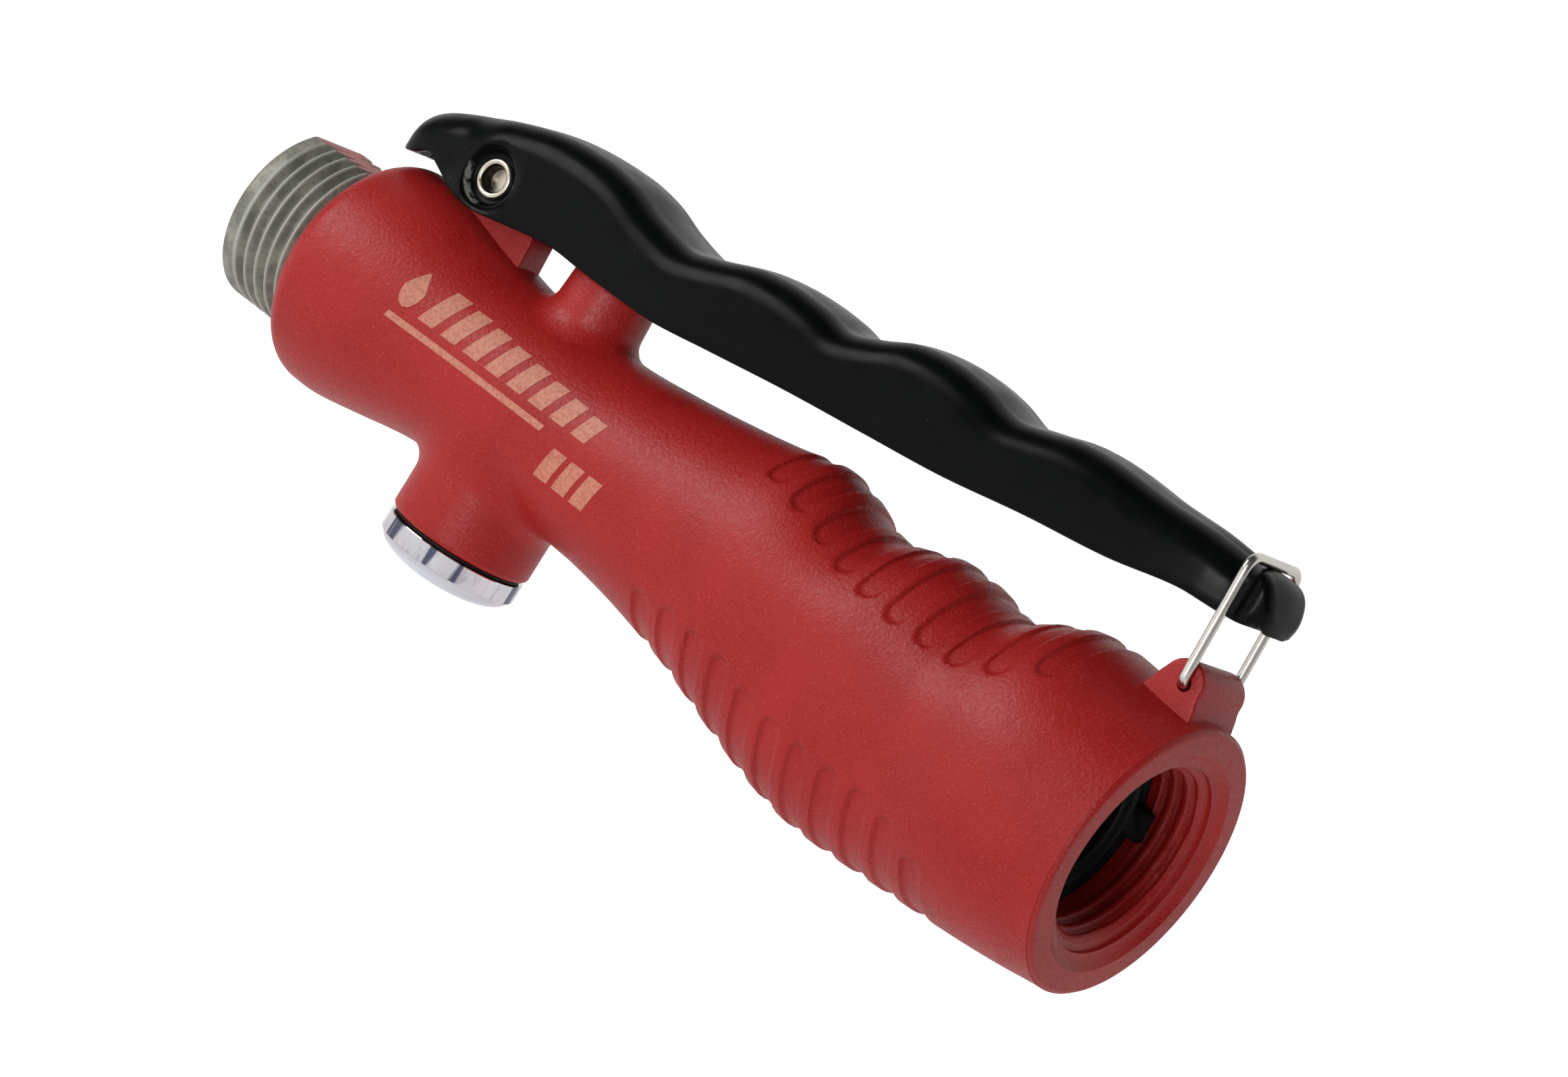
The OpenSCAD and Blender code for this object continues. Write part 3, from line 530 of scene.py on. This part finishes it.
def lever_ring(x):
    """Ring of points round the channel section at x; solid at the nose and at the tip."""
    w, top, edge = (float(curve(t, x)) for t in (LEVER_WIDTH, LEVER_CROWN, LEVER_EDGE))
    # Lower edges are rounder and the shoulder is tighter towards the tip
    r = 0.45 + 1.3 * float(ramp(-3.6, -2.4, x))
    soft = 0.29 * r
    shoulder = 4.6 - 2.9 * float(ramp(-9, -5, x))
    # 1 in the channel, 0 in the solid ends, where its inside shrinks to a shallow groove
    channel = float(ramp(*NOSE_WEB, x) * (1 - ramp(*TIP_WEB, x)))
    foot = edge + r * channel
    roof = (foot + 0.03) * (1 - channel) + (top - LEVER_WALL) * channel
    inner_w = w * 0.15 * (1 - channel) + (w - LEVER_WALL) * channel
    outer = lever_arch(w, top, edge + r, shoulder, 0.35)
    inner = lever_arch(inner_w, roof, foot, shoulder - 1, 0.2 * channel)
    rim = [(w - soft, edge + soft), (w - r, edge), (inner_w + r * channel, edge),
           (inner_w + soft * channel, edge + soft * channel)]
    half = rim[1::-1] + outer
    ring = [(y, z) for y, z in half] + [(-y, z) for y, z in reversed(half)]
    back = rim[2:] + inner
    ring += [(-y, z) for y, z in back] + [(y, z) for y, z in reversed(back)]
    return [(x, y, z) for y, z in ring]


def build_lever():
    """Pressed lever: channel skin, with a coined pocket round the rivet on each side."""
    nose = [-154.2, -154.1, -153.9, -153.6, -153.2, -152.7, -152.2]
    tip = [-4.4, -4.0, -3.6, -3.2, -2.9, -2.6, -2.3, -2.1, -1.9, -1.75, -1.6, -1.45, -1.35]
    # Sections lie close together where the outline turns quickly
    stations = np.concatenate([nose, np.arange(-151.8, -138, 0.45), np.arange(-138, -13, 1.0),
                               np.arange(-13, -4.6, 0.4), tip])
    lever = skin("lever_skin", [lever_ring(x) for x in stations])
    floor, past, inner, mouth_r = POCKET_FLOOR, 12.0, 0.3, 6.0
    boss_y, boss_r, boss_wall = 5.2, 4.9, 1.3
    for s in (-1, 1):
        boss = [(s * boss_y, boss_r), (s * (floor + boss_wall), boss_r)]
        combine(lever, lathe("boss", boss, "y", RIVET_AXIS, 96, closed=False), "UNION")
    # Pocket: flat floor, then a wall that flares out to the lever's side
    dish = [(floor, inner), (floor, 3.3), (floor + 0.12, 3.6), (floor + 0.5, 3.85),
            (floor + 1.1, 4.05), (floor + 1.6, 4.3), (floor + 2.0, 4.8), (floor + 2.3, mouth_r),
            (past, mouth_r), (past, inner)]
    for s in (-1, 1):
        pocket = [(s * u, r) for u, r in dish]
        combine(lever, lathe("pocket", pocket, "y", RIVET_AXIS, 128), "DIFFERENCE")
    hole = lathe("rivet_hole", [(-past, SHANK_R), (past, SHANK_R)], "y", RIVET_AXIS, 96, closed=False)
    combine(lever, hole, "DIFFERENCE", smooth_angle=35)
    return lever


def build_rivet():
    """Semi-tubular rivet with rolled heads and a blind hole in each end."""
    r_hole, r_head, depth, roll = 1.95, 2.85, 2.2, 0.34
    head, seat = rivet_hi[1], POCKET_FLOOR + 0.02
    # Half profile: from the hole's floor out over the rolled head and back to the shank
    side = ([(head - depth, r_hole - 0.35), (head - depth + 0.3, r_hole - 0.2),
             (head - 0.75, r_hole - 0.1), (head - 0.35, r_hole), (head - 0.1, r_hole + 0.15),
             (head, r_hole + 0.35)] + arc(head - roll, r_head - roll, roll, 0, 90, 7)
            + [(seat, r_head), (seat, SHANK_R)])
    profile = side + [(-u, r) for u, r in reversed(side)]
    return lathe("rivet", profile, "y", RIVET_AXIS, 128, closed=False, smooth_angle=50)


# ---- bail, cap, gasket, washer -------------------------------------------------------------

def build_bail():
    """Bent wire: two feet in the ear, two legs and a bar over the lever's neck."""
    wire, half, end, lean = 0.7, bail_hi[1] - CAD_WIRE_R, 3.2, math.radians(-3.75)
    height, bend, foot = 18.34, 1.9, 1.0
    cut_scale, cut_bevel = 0.25, 0.16

    def corner(y, z, r, start, stop):
        """Quarter bend of radius r round (y, z)."""
        return [(y + r * math.cos(t), z + r * math.sin(t))
                for t in np.radians(np.linspace(start, stop, 9))]

    # Half of the centre line in its own plane, as (y, z), from the foot to the bar
    side = ([(end, 0), (end + 1, 0)] + corner(half - foot, foot, foot, -90, 0)
            + [(half, z) for z in np.linspace(foot + 1, height - bend - 1, 14)]
            + corner(half - bend, height - bend, bend, 0, 90) + [(half - bend - 1.5, height)])
    path = side + [(0, height)] + [(-y, z) for y, z in reversed(side)]
    # The plane leans about the hinge
    line = np.array([(BAIL_X + z * math.sin(lean), y, BAIL_Z + z * math.cos(lean))
                     for y, z in path])
    tangent = np.gradient(line, axis=0)
    tangent /= np.linalg.norm(tangent, axis=1)[:, None]
    across = np.array([math.cos(lean), 0, -math.sin(lean)])
    a = np.linspace(0, 2 * math.pi, 28, endpoint=False)
    rings = []
    for p, t in zip(line, tangent):
        other = np.cross(t, across)
        rings.append([p + wire * (math.cos(b) * across + math.sin(b) * other) for b in a])
    # Bevel round each cut end
    first, last = np.array(rings[0]), np.array(rings[-1])
    rings[0] = first + (line[0] - first) * cut_scale
    rings.insert(1, first + tangent[0] * cut_bevel)
    rings[-1] = last + (line[-1] - last) * cut_scale
    rings.insert(-1, last - tangent[-1] * cut_bevel)
    return skin("bail_wire", rings, smooth_angle=50)


def build_cap():
    """Plated cap: plug, collar round the gasket, upright band, crisp crease, shallow dome."""
    r, low, plug_r, plug, inner = cap_hi[0] - VALVE_X, cap_lo[2], 8.6, 8, 0.3
    face, collar, band, collar_r = gasket_lo[2], 0.3, 2.6, 9.6
    top, crease = face + collar, face - band
    dome_r, dome_top = r - 0.55, crease - 0.12
    dome = [(dome_top - (dome_top - low) * math.sin(t), dome_r * math.cos(t))
            for t in np.linspace(0.0, math.pi / 2 * 0.985, 22)]
    profile = [(face + plug, inner), (face + plug, plug_r), (face, plug_r), (face, collar_r),
               (top, collar_r), (top, r - 0.15), (top - 0.05, r - 0.05), (top - 0.15, r),
               (top - 0.22, r), (crease + 0.32, r), (crease + 0.25, r), (crease + 0.08, r - 0.08),
               (crease, r - 0.28), (crease - 0.03, r - 0.4)] + dome
    return lathe("cap", profile, "z", VALVE_AXIS, 192, closed=False, smooth_angle=25)


def build_gasket():
    """Thin ring between the cap and the boss, bulging at its outer edge."""
    bore, r, bulge, z0, z1 = 8.72, 9.5, 9.95, gasket_lo[2], gasket_hi[2]
    profile = [(z0, bore), (z0, r), (z0 + 0.35, r), (z0 + 0.42, bulge), (z1 - 0.1, bulge),
               (z1, r), (z1, bore)]
    return lathe("gasket", profile, "z", VALVE_AXIS, 160)


def build_washer():
    """Hose washer with a ribbed face and three tabs."""
    tab_height, tab_r, tab_in, tab_half, tab_edge, sunk = 1.6, 12.3, 10.6, 2.2, 0.3, 0.3
    face, back, outer, bore = washer_hi[0] - tab_height, washer_lo[0], 13.0, 8.5
    tab_top = washer_hi[0] + 0.8
    profile = [(back, bore), (back, outer), (face - 0.2, outer), (face, outer - 0.2), (face, 12.2),
               (face - 0.25, 11.9), (face - 0.25, 11.3), (face, 11.0), (face, 10.7),
               (face - 0.4, 10.3), (face - 0.4, bore + 0.3), (face - 0.7, bore)]
    washer = lathe("washer", profile, "x", steps=160)
    for turn in (40, 160, 280):
        tab = plate("tab", [(face - sunk, tab_in), (tab_top, tab_in + 0.4), (tab_top, tab_r),
                            (face - sunk, tab_r)], tab_half, tab_edge)
        tab.data.transform(Matrix.Rotation(math.radians(turn), 4, "X"))
        combine(washer, tab, "UNION")
    return washer


# ---- printed mark --------------------------------------------------------------------------

def near_side(x, z):
    """Y of the casting's near side at places (x, z), by halving the span it lies in."""
    outside, inside, rounds = -24.0, -2.0, 34
    lo, hi = np.full(len(x), outside), np.full(len(x), inside)
    for _ in range(rounds):
        mid = (lo + hi) / 2
        out = casting_field(x, mid, z) > 0
        lo, hi = np.where(out, mid, lo), np.where(out, hi, mid)
    return lo


def mark_shapes():
    """Shapes of the print in (x, z), each as two edges with matching points."""
    slant = 0.32

    def band(x0, z0, x1, z1):
        """Bar from (x0, z0) up to z1 and across to x1, leaning along X."""
        lean = slant * (z1 - z0)
        return [[x0, z0], [x1, z0]], [[x0 + lean, z1], [x1 + lean, z1]]

    shapes = [band(-128.8 + 4.3 * i, 1.9, -126.0 + 4.3 * i, 7.7 - 0.3 * i) for i in range(8)]
    shapes += [band(-101.0 + 3.6 * i, -5.8, -98.4 + 3.6 * i, -1.0) for i in range(3)]
    shapes.append(band(-133.4, -0.4, -103, 0.6))
    drop_r, drop_x, drop_z, drop_h = 1.75, -131.8, 2.0, 5.8
    t = np.linspace(0, 1, 26)
    half = np.where(t > 0.5, (2 - 2 * t) ** 0.85, np.sqrt(1 - (2 * np.minimum(t, 0.5) - 1) ** 2))
    outline = np.stack([drop_r * half, drop_z + drop_h * t], -1)
    shapes.append((outline * (-1, 1) + (drop_x, 0), outline + (drop_x, 0)))
    return [(np.array(one, float), np.array(other, float)) for one, other in shapes]


def filled(a, b, step):
    """Grid of places (rows, columns, 2) between two matching edges, about a step apart."""
    rows = max(2, int(np.ceil(np.linalg.norm(a[-1] - a[0]) / step)))
    columns = max(2, int(np.ceil(np.linalg.norm(b - a, axis=1).max() / step)))
    s = np.linspace(0, 1, rows + 1)
    along = np.linspace(0, 1, len(a))
    left = np.stack([np.interp(s, along, a[:, k]) for k in (0, 1)], -1)
    right = np.stack([np.interp(s, along, b[:, k]) for k in (0, 1)], -1)
    u = np.linspace(0, 1, columns + 1)
    return left[:, None] + (right - left)[:, None] * u[None, :, None]


def build_mark():
    """Plain print on the near side: a drop, slanted bars and a line, as a thin skin."""
    step, skin_depth, skin_height = 0.22, 0.035, 0.06
    points, faces = [], []
    for a, b in mark_shapes():
        grid = filled(a, b, step)
        m, n = grid.shape[:2]
        x, z = grid[..., 0].ravel(), grid[..., 1].ravel()
        y = near_side(x, z)
        base = len(points)
        for off in (-skin_height, skin_depth):
            points += list(np.stack([x, y + off, z], -1))
        at = np.arange(m * n).reshape(m, n) + base
        quads = np.stack([at[:-1, :-1], at[1:, :-1], at[1:, 1:], at[:-1, 1:]], -1).reshape(-1, 4)
        faces += quads.tolist() + (quads[:, ::-1] + m * n).tolist()
        edge = np.concatenate([at[0, :], at[1:, -1], at[-1, -2::-1], at[-2:0:-1, 0]])
        following = np.roll(edge, -1)
        faces += np.stack([edge, following, following + m * n, edge + m * n], -1).tolist()
    return mesh_object("printed_mark", points, faces)


# ---- materials -----------------------------------------------------------------------------

def srgb(r, g, b):
    """Linear colour from 8-bit sRGB."""
    return tuple(c / 12.92 if c <= 0.04045 else ((c + 0.055) / 1.055) ** 2.4
                 for c in (r / 255, g / 255, b / 255)) + (1.0,)


class Finish:
    """A Principled material with helpers for noise, masks and bump, all in object space."""

    def __init__(self, name, colour, roughness, metallic=0.0):
        self.material = bpy.data.materials.new(name)
        self.material.use_nodes = True
        self.tree = self.material.node_tree
        self.shader = self.tree.nodes["Principled BSDF"]
        self.shader.inputs["Base Color"].default_value = colour
        self.shader.inputs["Roughness"].default_value = roughness
        self.shader.inputs["Metallic"].default_value = metallic
        self.place = self.tree.nodes.new("ShaderNodeTexCoord").outputs["Object"]
        self.height = None

    def node(self, kind, **settings):
        """New node; a setting is the value of an input or of a property of that name."""
        node = self.tree.nodes.new(kind)
        for key, value in settings.items():
            if key in node.inputs:
                node.inputs[key].default_value = value
            else:
                setattr(node, key, value)
        return node

    def noise(self, size, detail=3.0, stretch=(1, 1, 1), seed=0.0):
        """Noise from 0 to 1 whose features are about size millimetres across."""
        mapping = self.node("ShaderNodeMapping")
        self.tree.links.new(self.place, mapping.inputs["Vector"])
        mapping.inputs["Location"].default_value = (seed, seed * 0.7, seed * 0.3)
        mapping.inputs["Scale"].default_value = stretch
        noise = self.node("ShaderNodeTexNoise", Scale=1 / (size * MM), Detail=detail)
        self.tree.links.new(mapping.outputs[0], noise.inputs["Vector"])
        return noise.outputs["Fac"]

    def ramp(self, value, low, high, out_low=0.0, out_high=1.0):
        """Smooth step of a value between low and high, from out_low to out_high."""
        node = self.node("ShaderNodeMapRange", interpolation_type="SMOOTHSTEP")
        for key, number in (("From Min", low), ("From Max", high), ("To Min", out_low),
                            ("To Max", out_high)):
            node.inputs[key].default_value = number
        self.tree.links.new(value, node.inputs["Value"])
        return node.outputs["Result"]

    def mix(self, mask, colour_a, colour_b):
        """Colour a where the mask is 0 and colour b where it is 1."""
        node = self.tree.nodes.new("ShaderNodeMix")
        node.data_type = "RGBA"
        for socket, colour in ((node.inputs[6], colour_a), (node.inputs[7], colour_b)):
            if isinstance(colour, tuple):
                socket.default_value = colour
            else:
                self.tree.links.new(colour, socket)
        self.tree.links.new(mask, node.inputs[0])
        return node.outputs[2]

    def math(self, operation, a, b=0.0):
        """Result of a Math node on two sockets or numbers."""
        node = self.node("ShaderNodeMath", operation=operation)
        for socket, value in zip(node.inputs, (a, b)):
            if isinstance(value, (int, float)):
                socket.default_value = value
            else:
                self.tree.links.new(value, socket)
        return node.outputs[0]

    def axis(self, name):
        """Object X, Y or Z in metres."""
        node = self.tree.nodes.new("ShaderNodeSeparateXYZ")
        self.tree.links.new(self.place, node.inputs[0])
        return node.outputs[name]

    def shifted(self, name, place_mm):
        """Distance along an axis from a place given in millimetres."""
        return self.math("SUBTRACT", self.axis(name), float(place_mm * MM))

    def length(self, a, b):
        """Length of the vector with components a and b."""
        return self.math("SQRT", self.math("ADD", self.math("MULTIPLY", a, a),
                                           self.math("MULTIPLY", b, b)))

    def set(self, socket, value):
        """Link a value to an input of the shader."""
        self.tree.links.new(value, self.shader.inputs[socket])

    def bump(self, value, height_mm):
        """Relief of a value, on top of the bumps added before."""
        node = self.node("ShaderNodeBump", Strength=1.0, Distance=height_mm * MM)
        self.tree.links.new(value, node.inputs["Height"])
        if self.height is not None:
            self.tree.links.new(self.height, node.inputs["Normal"])
        self.height = node.outputs["Normal"]
        self.tree.links.new(self.height, self.shader.inputs["Normal"])


def red_coat():
    """Powder coat: fine orange peel, with lighter specks painted in as sparkle highlights."""
    m = Finish("red_powder_coat", srgb(156, 27, 26), 0.42)
    cloud = m.noise(14, 2)
    base = m.mix(m.ramp(cloud, 0.3, 0.7), srgb(154, 25, 24), srgb(164, 31, 29))
    # Painted highlight: lighter specks stand in for sparkle on the orange peel
    painted_sparkle = m.ramp(m.noise(0.26, 1, seed=9), 0.56, 0.74, 0.0, 0.8)
    m.set("Base Color", m.mix(painted_sparkle, base, srgb(180, 58, 54)))
    m.set("Roughness", m.ramp(m.noise(0.55, 2, seed=3), 0.3, 0.7, 0.36, 0.48))
    m.shader.inputs["Specular IOR Level"].default_value = 0.32
    m.bump(m.noise(0.55, 2, seed=1), 0.075)
    m.bump(m.noise(0.3, 1, seed=5), 0.035)
    return m.material


def print_tan():
    """Rubbed print of the mark."""
    m = Finish("tan_print", srgb(196, 118, 94), 0.5)
    wear = m.ramp(m.noise(0.5, 3, seed=4), 0.3, 0.62)
    m.set("Base Color", m.mix(wear, srgb(178, 98, 79), srgb(196, 126, 102)))
    m.bump(m.noise(0.5, 2, seed=2), 0.012)
    return m.material


def from_rivet(m):
    """Distance from the rivet's axis, as a value of the material m."""
    return m.length(m.shifted("X", PIVOT_X), m.shifted("Z", PIVOT_Z))


def lever_black():
    """Satin black coat with a little dust, worn round the rivet's pocket."""
    m = Finish("black_lever_coat", srgb(12, 15, 14), 0.38)
    base = m.mix(m.ramp(m.noise(20, 2), 0.3, 0.7), srgb(3, 6, 4), srgb(6, 10, 8))
    dust = m.ramp(m.noise(0.5, 2, seed=6), 0.79, 0.82)
    base = m.mix(dust, base, srgb(92, 94, 88))
    # Paint worn grey along the lower edge of the rivet's pocket
    radius = from_rivet(m)
    low = m.ramp(m.math("ADD", m.shifted("X", PIVOT_X), m.shifted("Z", PIVOT_Z)),
                 -3.6 * MM, -4.6 * MM)
    edge = m.math("MULTIPLY", m.ramp(radius, 3.75 * MM, 3.95 * MM),
                  m.ramp(radius, 4.35 * MM, 4.15 * MM))
    ragged = m.ramp(m.noise(0.9, 3, seed=12), 0.38, 0.5)
    worn = m.math("MULTIPLY", m.math("MULTIPLY", edge, low), ragged)
    m.set("Base Color", m.mix(worn, base, srgb(128, 130, 126)))
    m.set("Roughness", m.ramp(m.noise(3, 2, seed=8), 0.3, 0.7, 0.26, 0.33))
    m.shader.inputs["Specular IOR Level"].default_value = 0.09
    m.bump(m.noise(0.45, 2, seed=3), 0.003)
    return m.material


def bare_alloy():
    """Dull metal of the spout, with a painted highlight along its thread crests."""
    m = Finish("bare_cast_metal", srgb(128, 128, 118), 0.55, 0.2)
    cloud = m.noise(3.2, 4, seed=2)
    base = m.mix(m.ramp(cloud, 0.35, 0.65), srgb(112, 113, 105), srgb(146, 145, 133))
    grime = m.noise(0.6, 4, seed=5)
    base = m.mix(m.ramp(grime, 0.5, 0.72, 0.0, 0.6), base, srgb(104, 99, 84))
    # Painted highlight: thread crests past the lead band are coloured lighter, standing in for light
    # caught on them
    crest_highlight = m.math("MULTIPLY", m.ramp(m.length(m.axis("Y"), m.axis("Z")), 13.1 * MM, 13.4 * MM),
                   m.ramp(m.shifted("X", SPOUT_X), 1.8 * MM, 2.4 * MM))
    m.set("Base Color", m.mix(crest_highlight, base, srgb(168, 169, 162)))
    m.set("Roughness", m.ramp(grime, 0.3, 0.7, 0.48, 0.64))
    m.bump(m.noise(0.35, 3, seed=7), 0.012)
    return m.material


def metal(name, colour, low, high, size, stretch=(1, 1, 1), height=0.002):
    """Bare metal with scuffs of a size, roughness from low to high, and a darker stain."""
    m = Finish(name, colour, low, 1.0)
    scuff = m.noise(size, 3, stretch)
    m.set("Roughness", m.ramp(scuff, 0.3, 0.7, low, high))
    stain = m.ramp(m.noise(size * 3, 3, seed=5), 0.55, 0.75, 0.0, 0.35)
    m.set("Base Color", m.mix(stain, colour, tuple(c * 0.6 for c in colour[:3]) + (1.0,)))
    m.bump(scuff, height)
    return m.material


def nickel():
    """Warm nickel of the rivet, with painted shade down the holes in its ends."""
    m = Finish("nickel_rivet", srgb(208, 200, 184), 0.3, 1.0)
    scuff = m.noise(0.8, 3)
    m.set("Roughness", m.ramp(scuff, 0.3, 0.7, 0.24, 0.38))
    radius = from_rivet(m)
    # Painted shade: the walls of the holes in the rivet's ends are coloured dark, where shade falls
    wall = m.math("MULTIPLY", m.ramp(radius, 1.62 * MM, 1.7 * MM),
                  m.ramp(radius, 2.1 * MM, 1.98 * MM))
    m.set("Base Color", m.mix(wall, srgb(208, 200, 184), srgb(70, 66, 58)))
    m.bump(scuff, 0.004)
    return m.material


def chrome():
    """Bright plating; dark upright streaks on the cap's band are painted reflections."""
    bright = srgb(224, 227, 233)
    m = Finish("chrome_plate", bright, 0.05, 1.0)
    m.set("Roughness", m.ramp(m.noise(2.5, 3), 0.3, 0.7, 0.03, 0.09))
    # Painted reflection: dark bluish upright streaks on the cap's band stand in for reflected
    # surroundings
    reflection_streak = m.ramp(m.noise(3.0, 2, (1, 1, 0.06), seed=0.4), 0.57, 0.62, 0.0, 0.9)
    fine_reflection_streak = m.ramp(m.noise(1.2, 3, (1, 1, 0.4), seed=0.9), 0.5, 0.7, 0.0, 0.25)
    band = m.ramp(m.length(m.shifted("X", VALVE_X), m.axis("Y")), 10.2 * MM, 10.4 * MM)
    painted_reflection = m.math("MULTIPLY", m.math("MAXIMUM", reflection_streak, fine_reflection_streak), band)
    m.set("Base Color", m.mix(painted_reflection, bright, srgb(58, 66, 94)))
    return m.material


def rubber_black():
    """Matt rubber, lighter in patches."""
    m = Finish("black_rubber", srgb(14, 14, 14), 0.6)
    grey = m.ramp(m.noise(2.5, 3), 0.4, 0.7)
    m.set("Base Color", m.mix(grey, srgb(8, 8, 8), srgb(20, 20, 20)))
    m.shader.inputs["Specular IOR Level"].default_value = 0.25
    m.bump(m.noise(0.25, 2), 0.008)
    return m.material


def plastic(name, colour):
    """Moulded nylon of a colour."""
    m = Finish(name, colour, 0.45)
    m.set("Roughness", m.ramp(m.noise(0.6, 2), 0.3, 0.7, 0.38, 0.55))
    m.shader.inputs["Subsurface Weight"].default_value = 0.05
    m.bump(m.noise(0.4, 2, seed=2), 0.004)
    return m.material


def finish(obj, *materials):
    """Give an object its materials in order."""
    obj.data.materials.clear()
    for material in materials:
        obj.data.materials.append(material)


RED, BLACK, ALLOY, RUBBER = red_coat(), lever_black(), bare_alloy(), rubber_black()
NICKEL = nickel()
WIRE = metal("stainless_wire", srgb(216, 212, 204), 0.16, 0.3, 0.6, (1, 1, 0.12))
CHROME = chrome()
BRASS = metal("machined_brass", srgb(206, 170, 98), 0.22, 0.36, 0.8)
STEEL = metal("plain_steel", srgb(190, 190, 186), 0.25, 0.4, 0.6)
NYLON = plastic("white_nylon", srgb(226, 222, 208))
BLACK_NYLON = plastic("black_nylon", srgb(26, 26, 27))

# Finishes of the pieces that keep their CAD shape
CAD_FINISH = {
    "pivot_spacers": NYLON, "spring_cup": NYLON, "stem_button": BLACK_NYLON, "lever_pad": STEEL,
    "valve_spring": STEEL, "valve_stem": STEEL, "stem_circlip": STEEL, "screen_mesh": STEEL,
    "poppet": BRASS, "seal_retainer": BRASS, "poppet_nut": BRASS, "seat_ring": BRASS,
    "gland_bushing": BRASS, "screen_frame": BRASS, "seal_disc": RUBBER, "seat_oring": RUBBER,
    "stem_orings": RUBBER, "gland_wiper": RUBBER,
}
for node_name, material in CAD_FINISH.items():
    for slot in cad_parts[node_name].material_slots:
        slot.material = material

# ---- pieces --------------------------------------------------------------------------------

casting = build_casting()
finish(casting, RED)
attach(casting, "housing")
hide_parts("body")

spout = build_spout()
finish(spout, ALLOY, RED)
for polygon in spout.data.polygons:
    polygon.material_index = int(is_painted(polygon.center / MM))
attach(spout, "housing")

mark = build_mark()
finish(mark, print_tan())
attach(mark, "housing")

lever = build_lever()
finish(lever, BLACK)
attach(lever, "squeeze_lever")
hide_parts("lever")

rivet = build_rivet()
finish(rivet, NICKEL)
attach(rivet, "squeeze_lever")
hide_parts("pivot_rivet")

bail = build_bail()
finish(bail, WIRE)
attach(bail, "bail")
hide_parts("wire_bail")

cap = build_cap()
finish(cap, CHROME)
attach(cap, "housing")
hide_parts("valve_cap")

gasket = build_gasket()
finish(gasket, RUBBER)
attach(gasket, "housing")
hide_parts("cap_gasket")

washer = build_washer()
finish(washer, RUBBER)
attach(washer, "housing")
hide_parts("hose_washer")

# ---- floor, light and camera ---------------------------------------------------------------

scene = bpy.context.scene
scene.view_settings.view_transform = "Standard"
WHITE = (1, 1, 1, 1)


def build_floor():
    """Pale floor just below the cap, which the camera sees as white."""
    side, z, grey = 3.0, (cap_lo[2] - 0.05) * MM, (0.6, 0.6, 0.6, 1)
    glow_on_nozzle, glow_seen = 0.45, 0.85
    mesh = bpy.data.meshes.new("floor")
    mesh.from_pydata([(-side, -side, z), (side, -side, z), (side, side, z), (-side, side, z)],
                     [], [(0, 1, 2, 3)])
    sheet = bpy.data.objects.new("floor", mesh)
    scene.collection.objects.link(sheet)
    pale = Finish("pale_floor", grey, 0.8)
    rays = pale.node("ShaderNodeLightPath")
    pale.set("Emission Strength", pale.ramp(rays.outputs["Is Camera Ray"], 0, 1,
                                            glow_on_nozzle, glow_seen))
    pale.shader.inputs["Emission Color"].default_value = WHITE
    finish(sheet, pale.material)
    return sheet


def build_world():
    """White where the camera sees it; in reflections the far side is bright, the near side dim."""
    dim, bright = 0.06, 0.8
    world = bpy.data.worlds.new("studio")
    world.use_nodes = True
    tree = world.node_tree
    split = tree.nodes.new("ShaderNodeSeparateXYZ")
    tree.links.new(tree.nodes.new("ShaderNodeTexCoord").outputs["Generated"], split.inputs[0])
    grade = tree.nodes.new("ShaderNodeMapRange")
    grade.interpolation_type = "SMOOTHSTEP"
    for key, number in (("From Min", -0.05), ("From Max", 0.5), ("To Min", dim), ("To Max", bright)):
        grade.inputs[key].default_value = number
    tree.links.new(split.outputs["Y"], grade.inputs["Value"])
    seen = tree.nodes.new("ShaderNodeMath")
    seen.operation = "MAXIMUM"
    rays = tree.nodes.new("ShaderNodeLightPath")
    tree.links.new(rays.outputs["Is Camera Ray"], seen.inputs[0])
    tree.links.new(grade.outputs["Result"], seen.inputs[1])
    background = tree.nodes["Background"]
    tree.links.new(seen.outputs[0], background.inputs["Strength"])
    background.inputs["Color"].default_value = WHITE
    return world


def softbox(name, place, width, height, watts):
    """Rectangular light turned to the nozzle."""
    middle = Vector((-0.083, 0, 0.005))
    data = bpy.data.lights.new(name, "AREA")
    data.shape, data.size, data.size_y, data.energy = "RECTANGLE", width, height, watts
    light = bpy.data.objects.new(name, data)
    light.location = place
    light.rotation_euler = (middle - Vector(place)).to_track_quat("-Z", "Y").to_euler()
    scene.collection.objects.link(light)


floor = build_floor()
scene.world = build_world()
softbox("key", (-0.40, -0.30, 0.18), 0.24, 0.24, 1.05)
softbox("front", (0.06, -0.62, 0.07), 0.16, 0.2, 1.45)
softbox("top", (-0.05, 0.20, 0.75), 0.6, 0.4, 0.2)

# Camera at the photograph's viewing angle, rolled as there
eye = Vector((0.290765, -0.608283, 0.108842))
look = Vector((-0.50483, 0.85108, -0.14428))
right = Vector((0.68759, 0.49751, 0.52887))
camera_data = bpy.data.cameras.new("camera")
camera_data.lens, camera_data.sensor_width, camera_data.clip_start = 123.42, 36, 0.01
camera = bpy.data.objects.new("camera", camera_data)
axes = Matrix((right, right.cross(look), -look)).transposed()
camera.matrix_world = Matrix.Translation(eye) @ axes.to_4x4()
scene.collection.objects.link(camera)
scene.camera = camera
